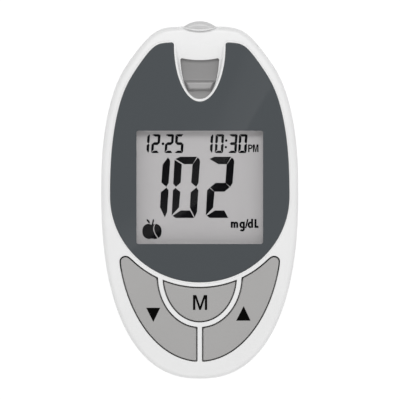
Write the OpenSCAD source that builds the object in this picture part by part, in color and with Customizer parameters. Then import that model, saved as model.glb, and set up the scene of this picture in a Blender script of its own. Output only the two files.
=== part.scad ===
// Blood glucose meter: a white egg-shaped two-part case with a dark display lens, three keys
// round the lower end, a strip port in the top edge and a thumb slider that ejects the strip.
// Millimetres. The meter lies on its flat back: +Z comes out of the display, +Y points to the
// strip port and +X to the right. The origin is under the middle of its whole length.

/* [Case] */
// Width across the widest line
case_w = 55; // [53:0.5:60]
// Length from the widest line down to the lower end
lower_len = 52.5; // [51.5:0.5:58]
// Length from the widest line up to the top edge
upper_len = 45.8; // [44.8:0.1:50]
// Thickness from the flat back to the crown of the front
case_t = 20; // [20:0.25:24]
// Height of the parting line above the back
split_z = 9.5; // [8.5:0.25:9.5]
// Thickness of the side walls and the back
wall = 1.7; // [1.5:0.1:1.9]
// Thickness of the front wall round the keys
front_wall = 1.8; // [1.5:0.1:1.9]
// Rounding of the back edge
back_r = 4; // [3:0.25:5]
// Rounding of the front edge
front_r = 1.6; // [1:0.1:1.8]
// Rise of the front from its rounded edge to its crown
crown = 0.4; // [0.2:0.1:0.6]
// Lean of the front half's side wall
draft = 0.25; // [0.1:0.05:0.4]

/* [Display] */
// Margin of white case beside the lens
lens_side = 2.55; // [2.4:0.05:3.5]
// Band of white case above the lens
top_band = 5.05; // [4.75:0.05:6]
// Length of the lens below its own centre
lens_lower = 23.9; // [23:0.1:25]
// Thickness of the lens at its edge
lens_t = 1.0; // [0.8:0.1:1.2]
// Rise of the lens over its edge
lens_crown = 0.65; // [0.4:0.05:0.9]
// Width of the clear window
window_w = 35.2; // [32:0.1:36]
// Height of the clear window
window_h = 31.5; // [29:0.1:32]
// Middle of the window above the centre of the lens
window_rise = 2.55; // [2:0.05:3]
// Thickness of each sheet of the LCD
glass_t = 0.6; // [0.5:0.05:0.7]

/* [Keys] */
// White band between the lens and the keys
key_band = 1.36; // [1.3:0.02:1.6]
// Margin of white case beside the oval that the arrow keys follow
key_side = 4.84; // [4.7:0.02:5.5]
// Margin of white case below the arrow keys
key_end = 5.0; // [4.6:0.1:6]
// Half-width of the memory key
memory_a = 10.2; // [9.4:0.1:10.6]
// Depth of the memory key's oval
memory_b = 12.7; // [12:0.1:13.2]
// White web between two keys
key_web = 1.55; // [1.4:0.05:1.7]
// Gap round each key
key_gap = 0.28; // [0.2:0.02:0.34]
// Height of the keys over the crown of the case
key_proud = 0.15; // [0.1:0.05:0.3]
// Travel of a key
key_travel = 0.5; // [0.3:0.05:0.6]
// Radius of a switch plunger
plunger_r = 0.85; // [0.7:0.05:1]

/* [Ejector] */
// Half-width of the slider's opening
slot_a = 5.35; // [5:0.05:5.5]
// Length of the opening's oval end
slot_b = 14.55; // [14:0.05:15]
// Distance from the top of the lens to the upper edge of the opening
slot_drop = 4; // [3.8:0.1:4.6]
// Half-width of the notch that the lens leaves round the opening
notch_a = 6.95; // [6.8:0.05:7.2]
// Depth of that notch's oval end
notch_b = 15.45; // [15.2:0.05:15.8]
// Travel of the slider
eject_travel = 4.2; // [3:0.1:4.2]

/* [Strip port] */
// Width of the strip slot
strip_w = 6.7; // [6:0.1:7]
// Height of the strip slot
strip_t = 0.9; // [0.7:0.05:1.1]
// How far the lip stands out of the top edge
lip_out = 1.36; // [1:0.02:2]
// Width of the lip
lip_w = 9.2; // [8.8:0.1:9.6]
// Radius of the lip's nose
lip_r = 7.2; // [6.8:0.1:8]

/* [Batteries] */
// Radius of an AAA cell
cell_r = 5.25; // [5:0.05:5.25]
// Length of an AAA cell over its pip
cell_len = 44.5; // [43.3:0.1:44.5]
// Room for a contact spring
spring_len = 4.3; // [3.5:0.1:4.5]
// Thickness of the battery door
door_t = 1.5; // [1.3:0.1:1.6]

/* [Screws] */
// Radius of the case screws' thread
screw_r = 0.85; // [0.75:0.05:0.9]
// Radius of their heads
head_r = 1.55; // [1.4:0.05:1.6]

/* [Fits] */
// Gap round the battery door
door_gap = 0.15; // [0.1:0.01:0.2]
// Gap round the lens
lens_gap = 0.12; // [0.08:0.01:0.16]
// Gap round the slider plate
slide_gap = 0.2; // [0.15:0.01:0.25]
// Radial clearance of a plunger in its switch
plunger_gap = 0.1; // [0.06:0.01:0.1]
// Loose clearance between parts that are only laid together
slack = 0.1; // [0.05:0.01:0.15]

/* [Hidden] */

white = "#ececec";
lens_dark = "#4f5356";
key_grey = "#aaa9a8";
slider_grey = "#8f8e8e";
metal = "#b9bcbf";

eps = 0.01;
over = 1;
far = 10000;

// Heights, from the flat back up
door_z = door_gap;
door_top = door_z + door_t;
lip_z = 0.8;
groove_top = door_top + door_gap;
rail_top = groove_top + 1.1;
cell_z = door_top + 0.25 + cell_r;
roof_z = cell_z + cell_r + 0.15;
roof_t = 0.8;
tongue_h = 1.1;

// Heights, from the front face down
face_z = case_t;
edge_z = face_z - crown;
inner_z = face_z - front_wall;
deck_top = face_z - lens_t - 0.4;
deck_t = 1.3;
deck_z = deck_top - deck_t;
tape_t = 0.15;
lens_z = deck_top + tape_t;
lcd_top = deck_z - slack;
holder_floor = lcd_top - 2 * glass_t - 0.2;
board_top = holder_floor - 1.2;
board_t = 1.0;
board_z = board_top - board_t;
strip_z = board_z - 1.6;
lip_h = 4.8;

// The case outline is two half superellipses. The upper one is flattened a little at its shoulders
// and cut by a shallow arc at the top edge
total_len = lower_len + upper_len + lip_out;
wide_y = lower_len - total_len / 2;
top_y = wide_y + upper_len;
low_y = wide_y - lower_len;
case_n = 2.36;
top_cut = 1.7;
top_arc_r = 500;
shoulder_dir = 37;
shoulder_cut = 0.26;
case_m = case_n / (case_n - 1);
shoulder_far = pow(pow(case_w / 2 * cos(shoulder_dir), case_m)
    + pow((upper_len + top_cut) * sin(shoulder_dir), case_m), 1 / case_m) - shoulder_cut;
corner_sharp = 80;

// The lens outline, about its own centre
lens_y = wide_y - 1.7;
lens_a = case_w / 2 - lens_side;
lens_top_y = top_y - top_band;
lens_n = 2.49;
lens_low_y = lens_y - lens_lower;
lens_sharp = 60;
notch_y = lens_top_y - 0.7;
notch_flare = 0.7;
window_y = lens_y + window_rise;

// The sheets of the LCD: the rear glass leaves the contact ledge of the front one free
glass_w = window_w + 1.6;
glass_hi = window_y + window_h / 2 + 1.2;
glass_lo = window_y - window_h / 2 - 3.3;
rear_lo = glass_lo + 2.4;
holder_wall = 0.85;
holder_hi = glass_hi + slack + holder_wall;
holder_half_w = glass_w / 2 + slack + holder_wall;

// The key outlines: an oval round all three, the band under the lens and the memory key's oval
key_oval_a = case_w / 2 - key_side;
key_oval_y = wide_y - 12.24;
key_oval_b = key_oval_y - low_y - key_end;
memory_y = lens_low_y + 1.77;
memory_eye = [0, memory_y - 6];
arrow_eye = [0.574 * key_oval_a, key_oval_y - 0.76 * key_oval_b];
tip_r = 1.45;
tip_at = [key_oval_a - 1.76, key_oval_y - 6.93];
key_sharp = 60;
key_round = 0.35;
flange_w = 0.45;
flange_t = 0.65;
flange_z = inner_z - 0.25 - flange_t;
key_top = face_z + key_proud;
memory_press = [0, memory_y - 6.3];
arrow_press = [arrow_eye[0] - 1, arrow_eye[1] + 2.8];

// The slider and the slot under it
slot_top = lens_top_y - slot_drop;
slot_sag = 0.5;
slot_n = 2.4;
plate_top = deck_z - slide_gap;
plate_t = 1.0;
plate_z = plate_top - plate_t;
plate_w = 12.2;
ridge_y = notch_y - slot_b + 3.55;
ridge_w = 3;
plate_up = 2.2;
plate_gap = 0.85;
plate_hi = slot_top + plate_up;
plate_lo = holder_hi + plate_gap;
arm_w = 1.2;
arm_gap = 0.3;
arm_y = notch_y - slot_b + 3.1;
arm_z = strip_z - 1;
lug_y = arm_y + 4.2;
lug_t = 0.8;
eject_coil_r = 0.58;
eject_wire = 0.24;
eject_coil_z = board_top + 0.77;
stop_y = top_y - wall - 1.2;

// The strip connector and its contacts
conn_w = 11.2;
conn_h = 3.8;
conn_lo = arm_y - 1.2;
conn_hi = top_y - wall - 1.45;
contact_x = [1.55, 2.75];

// The battery compartment
cell_x = cell_r + 0.25;
bay_half_w = cell_x + cell_r + 0.45;
contact_t = 0.3;
bay_len = cell_len + spring_len + 2 * contact_t + slack;
bay_hi = lens_y + 16.5;
bay_lo = bay_hi - bay_len;
bay_wall = 1.2;
door_over = 0.6;
tongue_w = 1.15;
pip_r = 1.9;
pip_h = 0.8;
coil_wire = 0.5;
contact_lo = cell_z - 4.2;
contact_hi = cell_z + 4.4;
contact_half_w = 3.6;
coil_r0 = 2.2;
coil_r1 = 3.4;
tail_half_w = 0.75;

// Screw places: under the lens, above and below the display
head_h = 1.2;
seat_z = 2.9;
post_r = 2.6;
boss_r = 2.1;
board_boss_r = 1.7;
upper_screw = [lens_a - 6.45, lens_top_y - 14.45];
lower_screw = [holder_half_w + boss_r + 0.35, lens_y - 8];
board_screw_a = [12.5, lens_top_y - 17.45];
board_screw_b = [holder_half_w + board_boss_r + 0.95, lens_y + 2];
board_screw_r = 0.7;
board_head_r = 1.2;
board_head_h = 0.9;
screw_tip_gap = 3;
board_tip_gap = 0.6;

case_points = 96;
lens_points = 96;
switch_h = 1.8;
plunger_low = board_top + 0.25 + key_travel;

// Directions in which the key outlines are drawn: [from, step, to], closer together at corners
memory_spans = [[18, 1.5, 30], [36, 8, 144], [150, 1.5, 162], [168, 6, 372]];
arrow_spans = [
    [64, 1, 74], [77, 4, 89], [91.5, 1, 99], [104, 5.5, 165], [169, 1.5, 178], [183, 7, 204],
    [210, 1.5, 218], [223, 5, 298], [306, 9, 342], [350, 4, 422]
];

// ---------- formulas ----------

function total(v, i = 0) = i < len(v) ? v[i] + total(v, i + 1) : 0;

// The smallest of several distances, with the change from one to the next rounded off
function soft_min(v, sharp) = pow(total([for (r = v) pow(r, -sharp)]), -1 / sharp);

// Distance from point p along angle t to an ellipse that holds p, or to the near side of one that doesn't
function to_oval(p, t, c, a, b, holds) =
    let (
        u = [cos(t) / a, sin(t) / b],
        q = [(p[0] - c[0]) / a, (p[1] - c[1]) / b],
        d = pow(q * u, 2) - (u * u) * (q * q - 1)
    )
    holds ? (sqrt(d) - q * u) / (u * u) : (d <= 0 || q * u >= 0) ? far : (-q * u - sqrt(d)) / (u * u);

// Distance from p along angle t to the straight line through q that faces direction f
function to_line(p, t, q, f) = cos(t - f) > 0 ? (q - p) * [cos(f), sin(f)] / cos(t - f) : far;

// n angles round a circle, closer together near its two ends along direction lean
function angles(n, pull, lean = 90) = [for (i = [0:n - 1])
    let (t = lean + 360 * i / n) t - pull * sin(2 * (t - lean))];

function case_reach(t, d) =
    let (
        up = sin(t) > 0,
        b = (up ? upper_len + top_cut : lower_len) - d,
        oval = pow(pow(abs(cos(t)) / (case_w / 2 - d), case_n) + pow(abs(sin(t)) / b, case_n), -1 / case_n)
    )
    up ? soft_min([
        oval,
        to_oval([0, 0], t, [0, upper_len - top_arc_r], top_arc_r - d, top_arc_r - d, true),
        (shoulder_far - d) / cos(abs(t % 360 - 90) + shoulder_dir - 90)
    ], corner_sharp) : oval;

// The case outline, drawn in by d all round
function case_line(d) = [for (t = angles(case_points, 11.5))
    [0, wide_y] + case_reach(t, d) * [cos(t), sin(t)]];

function lens_reach(t, d) =
    let (
        up = sin(t) > 0,
        n = up ? lens_n : 2,
        cut = lens_top_y - lens_y,
        b = (up ? cut + 2.1 : lens_lower) - d,
        oval = pow(pow(abs(cos(t)) / (lens_a - d), n) + pow(abs(sin(t)) / b, n), -1 / n)
    )
    up ? soft_min([oval, to_line([0, 0], t, [0, cut - d], 90)], lens_sharp) : oval;

// The lens outline without its notch, drawn in by d
function lens_line(d) = [for (t = angles(lens_points, 11.5))
    [0, lens_y] + lens_reach(t, d) * [cos(t), sin(t)]];

// The notch in the top of the lens, made wider by g, with its mouth rounded outwards
function notch_line(g) = concat(
    [for (t = [180:5:360]) [(notch_a + g) * cos(t), notch_y + (notch_b + g) * sin(t)]],
    [for (t = [15:15:90]) [notch_a + g + notch_flare * (1 - cos(t)), notch_y + notch_flare * sin(t)]],
    [[notch_a + g + notch_flare, lens_top_y + over], [-notch_a - g - notch_flare, lens_top_y + over]],
    [for (t = [90:-15:15]) [-notch_a - g - notch_flare * (1 - cos(t)), notch_y + notch_flare * sin(t)]]
);

// A key's outline, drawn in by d from the middle of the gap round it
function under_lens(p, t, d) =
    to_oval(p, t, [0, lens_y], lens_a + key_band + d, lens_lower + key_band + d, false);
function memory_line(d) = [for (s = memory_spans, t = [s[0]:s[1]:s[2]])
    memory_eye + [cos(t), sin(t)] * soft_min([
        to_oval(memory_eye, t, [0, memory_y], memory_a - d, memory_b - d, true),
        under_lens(memory_eye, t, d)
    ], key_sharp)];
function arrow_line(d) = [for (s = arrow_spans, t = [s[0]:s[1]:s[2]])
    arrow_eye + [cos(t), sin(t)] * soft_min(concat(
        [
            to_oval(arrow_eye, t, [0, key_oval_y], key_oval_a - d, key_oval_b - d, true),
            to_oval(arrow_eye, t, [0, memory_y], memory_a + key_web + d, memory_b + key_web + d, false),
            under_lens(arrow_eye, t, d),
            to_line(arrow_eye, t, [key_web / 2 + d, 0], 180)
        ],
        // the rounded tip: lines that touch a small circle
        [for (f = [0:30:120]) to_line(arrow_eye, t, tip_at + (tip_r - d) * [cos(f), sin(f)], f)]
    ), key_sharp)];

// A U shape: an oval end that hangs from the notch's centre line, closed by a sagging upper edge
function u_line(a, b, top, sag, r) =
    let (
        start = asin(pow(max(0, notch_y - top + r + 0.2) / b, slot_n / 2)),
        x_top = a * pow(cos(start), 2 / slot_n)
    )
    concat(
        [for (i = [0:36]) let (t = 180 + start + i * (180 - 2 * start) / 36)
            [a * sign(cos(t)) * pow(abs(cos(t)), 2 / slot_n), notch_y - b * pow(abs(sin(t)), 2 / slot_n)]],
        [for (t = [0:30:60]) [x_top - r + r * cos(t), top - r + r * sin(t)]],
        [for (i = [-4:4]) let (k = -i / 4) [k * (x_top - r), top - sag * (1 - k * k)]],
        [for (t = [120:30:180]) [-x_top + r + r * cos(t), top - r + r * sin(t)]]
    );

function at(line, z) = [for (p = line) [p[0], p[1], z]];

// ---------- shared shapes ----------

function band(n, k, flip = false) = [for (i = [0:n - 1]) let (
        a = k * n + i, b = k * n + (i + 1) % n, c = b + n, d = a + n)
    each (flip ? [[a, b, c], [a, c, d]] : [[a, c, b], [a, d, c]])];

// A solid through rings of equally many points, from the lowest up. Its flat ends are fans about
// the point eye of the plan, from which the whole of each outline can be seen.
module loft(rings, eye) {
    n = len(rings[0]);
    k = len(rings);
    polyhedron(
        points = concat([for (r = rings) each r],
            [for (r = [rings[0], rings[k - 1]]) [eye[0], eye[1], r[0][2]]]),
        faces = concat(
            [for (i = [0:n - 1]) [k * n, i, (i + 1) % n]],
            [for (j = [0:k - 2]) each band(n, j)],
            [for (i = [0:n - 1]) [k * n + 1, (k - 1) * n + (i + 1) % n, (k - 1) * n + i]]
        ),
        convexity = 6
    );
}

// A cup with its mouth down: outer and inner rings both run from the mouth up
module cup(outer, inner) {
    n = len(outer[0]);
    k = len(outer);
    m = len(inner);
    polyhedron(
        points = [for (r = concat(outer, inner)) each r],
        faces = concat(
            [for (j = [0:k - 2]) each band(n, j)],
            [[for (i = [n - 1:-1:0]) (k - 1) * n + i]],
            [for (j = [k:k + m - 2]) each band(n, j, true)],
            [[for (i = [0:n - 1]) (k + m - 1) * n + i]],
            [for (i = [0:n - 1]) let (h = (i + 1) % n)
                each [[i, h, k * n + h], [i, k * n + h, k * n + i]]]
        ),
        convexity = 8
    );
}

// A box given by two opposite corners
module block(a, b) {
    translate(a) cube(b - a);
}

// The same piece on both sides
module both_sides() {
    children();
    mirror([1, 0, 0]) children();
}

// A helical wire along +Y, from p, with its radius changing from r0 to r1
module coil(p, r0, r1, length, turns, wire, steps = 12, sides = 6) {
    n = turns * steps;
    function ring(i) =
        let (t = 360 * i / steps, r = r0 + (r1 - r0) * i / n, y = wire / 2 + (length - wire) * i / n)
        [for (j = [0:sides - 1]) let (f = 360 * j / sides, q = r + wire / 2 * cos(f))
            p + [q * cos(t), y + wire / 2 * sin(f), q * sin(t)]];
    polyhedron(
        points = [for (i = [0:n]) each ring(i)],
        faces = concat(
            [[for (j = [0:sides - 1]) j]],
            [for (i = [0:n - 1]) each band(sides, i)],
            [[for (j = [sides - 1:-1:0]) n * sides + j]]
        ),
        convexity = 8
    );
}

// ---------- case ----------

module case_posts(r, z0, z1) {
    for (p = [upper_screw, lower_screw]) both_sides()
        translate([p[0], p[1], z0]) cylinder(r = r, h = z1 - z0, $fn = 48);
}

module board_posts(r, z0, z1) {
    for (p = [board_screw_a, board_screw_b]) both_sides()
        translate([p[0], p[1], z0]) cylinder(r = r, h = z1 - z0, $fn = 48);
}

// Outside of the rear half: rounded back edge, side wall and the fine groove at the parting line
function rear_ring(phi) = at(case_line(back_r * (1 - sin(phi))), back_r * (1 - cos(phi)));

module rear_body() {
    loft(concat([for (phi = [0:22.5:90]) rear_ring(phi)], [at(case_line(0), split_z)]), [0, wide_y]);
}

module rear_cup() {
    in_r = back_r - wall;
    rim = 0.95;
    groove = 0.15;
    mirror([0, 0, 1]) cup(
        concat(
            [at(case_line(rim), -split_z - tongue_h), at(case_line(rim), -split_z),
             at(case_line(groove), -split_z), at(case_line(0), -split_z + groove)],
            [for (phi = [90:-22.5:0]) [for (p = rear_ring(phi)) [p[0], p[1], -p[2]]]]
        ),
        concat(
            [at(case_line(wall), -split_z - tongue_h)],
            [for (phi = [90:-30:0]) at(case_line(back_r - in_r * sin(phi)), in_r * cos(phi) - back_r)]
        )
    );
}

module rear_case() {
    rail_w = 2.4;
    floor_z = lip_z + 0.4;
    rest_x = bay_half_w + bay_wall + 3.4;
    rest_r = 1.5;
    rib_w = 1;
    rib_h = 4;
    lip_room = 1.6;
    color(white) difference() {
        union() {
            rear_cup();
            // rails beside the battery door, and the floor that closes its channel below the bay
            translate([0, 0, floor_z]) linear_extrude(rail_top - floor_z) intersection() {
                polygon(case_line(wall - 0.3));
                translate([-bay_half_w - rail_w, low_y])
                    square([2 * (bay_half_w + rail_w), bay_hi + rail_w - low_y]);
            }
            block([-bay_half_w - bay_wall, bay_lo - bay_wall, floor_z],
                [bay_half_w + bay_wall, bay_hi + bay_wall, roof_z + roof_t]);
            case_posts(post_r, lip_z, split_z - slack);
            // rests for the circuit board
            for (y = [bay_lo, bay_hi - rest_r - 2]) both_sides()
                translate([rest_x, y, lip_z]) cylinder(r = rest_r, h = board_z - lip_z, $fn = 32);
            // stiffening ribs
            for (y = [lens_y + 8, memory_y + 3]) translate([0, y, floor_z])
                linear_extrude(rib_h) intersection() {
                    translate([0, -y]) polygon(case_line(wall / 2));
                    translate([-case_w / 2, 0]) square([case_w, rib_w]);
                }
        }
        // battery bay, the opening under it and the channel for the door's edges
        block([-bay_half_w, bay_lo, lip_z], [bay_half_w, bay_hi, roof_z]);
        block([-bay_half_w, low_y - over, -over], [bay_half_w, bay_hi + door_over, lip_z + eps]);
        block([-bay_half_w - tongue_w, low_y - over, lip_z],
            [bay_half_w + tongue_w, bay_hi + door_over + tongue_w + door_gap, groove_top]);
        // slots in the roof for the two contact tails
        both_sides() block([cell_x - tail_half_w - 2 * slack, bay_hi - 2 * contact_t, roof_z - over],
            [cell_x + tail_half_w + 2 * slack, bay_hi, roof_z + over]);
        case_posts(head_r + 0.2, -over, seat_z);
        case_posts(screw_r + 0.2, 0, split_z);
        // room for the port lip in the tongue
        block([-lip_w / 2 - lip_room, top_y - wall - over, split_z],
            [lip_w / 2 + lip_room, top_y - wall / 2, split_z + tongue_h + over]);
    }
}

module front_cup() {
    rebate = 0.8;
    groove = 0.15;
    arc_d = draft + front_r;
    cup(
        concat(
            [at(case_line(groove), split_z), at(case_line(0), split_z + groove)],
            [for (phi = [0:22.5:90])
                at(case_line(arc_d - front_r * cos(phi)), edge_z - front_r * (1 - sin(phi)))],
            [at(case_line(6), face_z - crown * 0.4), at(case_line(12), face_z)]
        ),
        [at(case_line(rebate), split_z), at(case_line(rebate), split_z + tongue_h + 0.2),
         at(case_line(wall), split_z + tongue_h + 0.2), at(case_line(wall), inner_z - 1.2),
         at(case_line(wall + 0.3), inner_z - 0.4), at(case_line(wall + 1.1), inner_z)]
    );
}

module key_openings() {
    translate([0, 0, deck_z]) linear_extrude(face_z - deck_z + over) {
        polygon(memory_line(-key_gap / 2));
        both_sides() polygon(arrow_line(-key_gap / 2));
    }
}

module slider_opening() {
    slot = u_line(slot_a, slot_b, slot_top, slot_sag, 0.5);
    loft([
        at(slot, deck_z - over), at(slot, deck_z + 0.9),
        at(u_line(notch_a - 0.55, notch_b - 0.5, lens_top_y + 1.4, 0, 0.5), face_z + 0.25)
    ], [0, ridge_y]);
}

module front_case() {
    bite = 0.1;
    pilot = 0.3;
    rib_x = plate_w / 2 + slide_gap;
    rib_w = 0.9;
    guide_y = [plate_lo + 0.3, plate_hi - 0.5];
    shelf_w = 0.9;
    shelf_t = 0.35;
    shelf_z = plate_z - slide_gap;
    scallop_r = 13.1;
    scallop_y = top_y - 1.08 + scallop_r;
    port_hi = strip_z + lip_h / 2 + slack;
    color(white) difference() {
        union() {
            front_cup();
            // deck under the lens
            translate([0, 0, deck_z]) linear_extrude(deck_t) polygon(lens_line(-0.5));
            case_posts(boss_r, split_z, deck_z + eps);
            board_posts(board_boss_r, board_top, deck_z + eps);
            // guides that carry the slider plate
            both_sides() {
                block([rib_x, guide_y[0], shelf_z - shelf_t], [rib_x + rib_w, guide_y[1], deck_z + eps]);
                block([rib_x - shelf_w, guide_y[0], shelf_z - shelf_t], [rib_x + rib_w, guide_y[1], shelf_z]);
            }
            // stop for the ejector spring
            block([-1.2, stop_y, eject_coil_z - 0.4], [1.2, top_y - 0.8, eject_coil_z + 0.6]);
        }
        // recess for the lens, round the tongue that carries the slider
        translate([0, 0, deck_top]) linear_extrude(face_z) difference() {
            polygon(lens_line(-lens_gap));
            polygon(notch_line(-lens_gap));
        }
        block([-window_w / 2 - 0.3, window_y - window_h / 2 - 0.3, deck_z - over],
            [window_w / 2 + 0.3, window_y + window_h / 2 + 0.3, deck_top + over]);
        key_openings();
        slider_opening();
        case_posts(screw_r - bite, split_z - over, deck_z - screw_tip_gap + pilot);
        board_posts(board_screw_r - bite, board_top - over, deck_z - board_tip_gap + pilot);
        // port opening, and the two steps of the scallop in the edge above it
        block([-lip_w / 2 - slack, top_y - wall - over, split_z - over],
            [lip_w / 2 + slack, top_y + over, port_hi]);
        translate([0, scallop_y, port_hi - eps]) cylinder(r = scallop_r, h = case_t, $fn = 96);
        translate([0, scallop_y, edge_z - 2]) cylinder(r = scallop_r + 0.8, h = case_t, $fn = 96);
    }
}

// ---------- display ----------

module display_lens() {
    color(lens_dark) difference() {
        loft([
            at(lens_line(0), lens_z), at(lens_line(0), face_z - 0.25), at(lens_line(0.08), face_z - 0.1),
            at(lens_line(0.3), face_z), at(lens_line(5), face_z + lens_crown * 0.6 - 0.2),
            at(lens_line(12), face_z + lens_crown - 0.25)
        ], [0, lens_y]);
        translate([0, 0, lens_z - over]) linear_extrude(5) polygon(notch_line(0));
    }
}

module lens_adhesive() {
    edge = 0.3;
    strip = 1.2;
    margin = 0.6;
    color("black") translate([0, 0, deck_top]) linear_extrude(tape_t) difference() {
        polygon(lens_line(edge));
        polygon(notch_line(edge));
        intersection() {
            polygon(lens_line(edge + strip));
            translate([-window_w / 2 - margin, window_y - window_h / 2 - margin])
                square([window_w + 2 * margin, window_h + 2 * margin]);
        }
    }
}

module lcd_front_glass() {
    color("#c4c8c4") block([-glass_w / 2, glass_lo, lcd_top - glass_t], [glass_w / 2, glass_hi, lcd_top]);
}

module lcd_rear_glass() {
    color("#b4b8b4") block([-glass_w / 2, rear_lo, lcd_top - 2 * glass_t],
        [glass_w / 2, glass_hi, lcd_top - glass_t]);
}

module lcd_reflector() {
    color("#a8aaa8") block([-glass_w / 2 + 0.2, rear_lo + 0.2, holder_floor],
        [glass_w / 2 - 0.2, glass_hi - 0.2, lcd_top - 2 * glass_t]);
}

module zebra_connector() {
    color("#3c3c44") block([-glass_w / 2 + 2, glass_lo + 0.3, board_top],
        [glass_w / 2 - 2, rear_lo - 0.3, lcd_top - glass_t]);
}

// A frame with a floor under the glass, open in the middle and where the rubber connector stands
module lcd_holder() {
    cut = 1.2;
    inset = 2;
    ledge = 2.4;
    w = holder_half_w;
    lo = glass_lo - holder_wall;
    color("#d8d8d4") difference() {
        translate([0, 0, board_top]) linear_extrude(lcd_top - board_top)
            polygon([
                [-w, holder_hi], [-w, lo + cut], [cut - w, lo],
                [w - cut, lo], [w, lo + cut], [w, holder_hi]
            ]);
        block([-glass_w / 2 - slack, glass_lo - slack, holder_floor],
            [glass_w / 2 + slack, glass_hi + slack, lcd_top + over]);
        block([-glass_w / 2 + inset, rear_lo + ledge, board_top - over],
            [glass_w / 2 - inset, glass_hi - ledge, holder_floor + over]);
        block([-glass_w / 2 + inset - slack, glass_lo + 0.3 - slack, board_top - over],
            [glass_w / 2 - inset + slack, rear_lo - 0.3 + slack, holder_floor + over]);
    }
}

// ---------- electronics ----------

module circuit_board() {
    color("#2f6b45") difference() {
        translate([0, 0, board_z]) linear_extrude(board_t) intersection() {
            polygon(case_line(wall + 0.5));
            translate([-case_w, -total_len]) square([2 * case_w, total_len + top_y - wall - 1.5]);
        }
        case_posts(boss_r + 0.4, board_z - over, board_top + over);
        board_posts(board_screw_r + 0.15, board_z - over, board_top + over);
        block([-arm_w / 2 - arm_gap, arm_y - arm_gap, board_z - over],
            [arm_w / 2 + arm_gap, arm_y + arm_w + eject_travel + arm_gap, board_top + over]);
    }
}

module microcontroller() {
    side = 10;
    leads = 9;
    pitch = 1;
    color("#26262a") translate([2, window_y - 2, board_top]) {
        translate([-side / 2, -side / 2, 0.1]) cube([side, side, 0.9]);
        for (k = [0:leads - 1], s = [-1, 1])
            translate([s * (side / 2 + 0.2) - 0.4, (k - (leads - 1) / 2) * pitch - 0.15, 0])
                cube([0.8, 0.3, 0.4]);
    }
}

// Capacitors in two rows beside the controller, a crystal above it, and parts near the connector
module board_components() {
    part = [2, 1.25, 0.9];
    pitch = 4;
    color("#b5916a") {
        for (k = [0:4]) translate([-12, window_y + (k - 2) * pitch, board_top]) cube(part);
        for (k = [0:2]) translate([11, window_y + (k - 1) * pitch, board_top]) cube(part);
        translate([-4, window_y + 8, board_top]) cube([6, 2.2, 1]);
        for (k = [0:2]) both_sides()
            translate([10, board_screw_a[1] + 4 + 3 * k, board_top]) cube(0.7 * part);
    }
}

module buzzer() {
    r = 5;
    h = 2.6;
    hole_r = 0.6;
    hole_deep = 1;
    color("#1e1e20") translate([0, bay_lo - bay_wall - r - 1.4, board_z]) mirror([0, 0, 1]) difference() {
        cylinder(r = r, h = h, $fn = 64);
        translate([0, 0, h - hole_deep]) cylinder(r = hole_r, h = hole_deep + over, $fn = 32);
    }
}

module switch_at(p) {
    side = 4.8;
    translate([p[0], p[1], board_top]) difference() {
        translate([-side / 2, -side / 2, 0]) cube([side, side, switch_h]);
        translate([0, 0, 0.1]) cylinder(r = plunger_r + plunger_gap, h = switch_h, $fn = 48);
    }
}

module switch_bodies() {
    color("#2a2a2d") {
        switch_at(memory_press);
        both_sides() switch_at(arrow_press);
    }
}

module strip_connector() {
    color("#33343a") difference() {
        block([-conn_w / 2, conn_lo, board_z - conn_h], [conn_w / 2, conn_hi, board_z]);
        block([-strip_w / 2, arm_y - arm_gap, strip_z - strip_t / 2],
            [strip_w / 2, conn_hi + over, strip_z + strip_t / 2]);
        block([-arm_w / 2 - arm_gap, arm_y - arm_gap, arm_z - arm_gap],
            [arm_w / 2 + arm_gap, arm_y + arm_w + eject_travel + arm_gap, board_z + over]);
        for (x = contact_x) both_sides()
            block([x - 0.35, arm_y + 1, strip_z], [x + 0.35, conn_hi - 0.6, board_z + over]);
    }
}

// Spring strips: a foot on the board, a sloping arm, a nose that touches the test strip's top face
// and a turned-up end
module strip_contacts() {
    t = 0.2;
    w = 0.44;
    y0 = arm_y + 1.8;
    y1 = conn_hi - 0.8;
    z = strip_z + strip_t / 2;
    under = [[y1, z + 0.7], [y0 + 3.4, z + 0.5], [y0 + 1.4, z], [y0, z + 0.4]];
    color("#c8a24a") for (x = contact_x) both_sides()
        translate([x - w / 2, 0, 0]) rotate([90, 0, 90]) linear_extrude(w) polygon(concat(
            [[y1, board_z]], under, [for (i = [3:-1:1]) under[i] + [0, t]],
            [[y1 - t, under[0][1] + t], [y1 - t, board_z]]
        ));
}

module port_lip() {
    rim_r = 1.3;
    h = lip_h;
    flange_hi = top_y - wall - 0.25;
    color("#cfd0d1") difference() {
        union() {
            intersection() {
                translate([0, top_y + lip_out - lip_r, strip_z - h / 2]) rotate_extrude($fn = 96) union() {
                    square([lip_r - rim_r, h]);
                    translate([0, rim_r]) square([lip_r, h - 2 * rim_r]);
                    translate([lip_r - rim_r, rim_r]) circle(r = rim_r, $fn = 32);
                    translate([lip_r - rim_r, h - rim_r]) circle(r = rim_r, $fn = 32);
                }
                block([-lip_w / 2, flange_hi - 0.5, 0], [lip_w / 2, top_y + 5, case_t]);
            }
            block([-lip_w / 2 - 1.2, flange_hi - 0.9, strip_z - h / 2],
                [lip_w / 2 + 1.2, flange_hi, strip_z + h / 2]);
        }
        block([-strip_w / 2 - slack, top_y - 5, strip_z - strip_t / 2 - slack],
            [strip_w / 2 + slack, top_y + 5, strip_z + strip_t / 2 + slack]);
    }
}

// ---------- keys ----------

// A cap with a rounded edge over a flange that is cut off short of the LCD's frame
module key_cap(edge, rounded, inner, flange, eye) {
    reach = lens_low_y + 4.4;
    translate([0, 0, flange_z]) linear_extrude(flange_t) intersection() {
        polygon(flange);
        translate([-case_w, reach - total_len]) square([2 * case_w, total_len]);
    }
    loft([
        at(edge, flange_z + 0.1), at(edge, key_top - key_round),
        at(rounded, key_top - 0.1), at(inner, key_top)
    ], eye);
}

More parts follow.
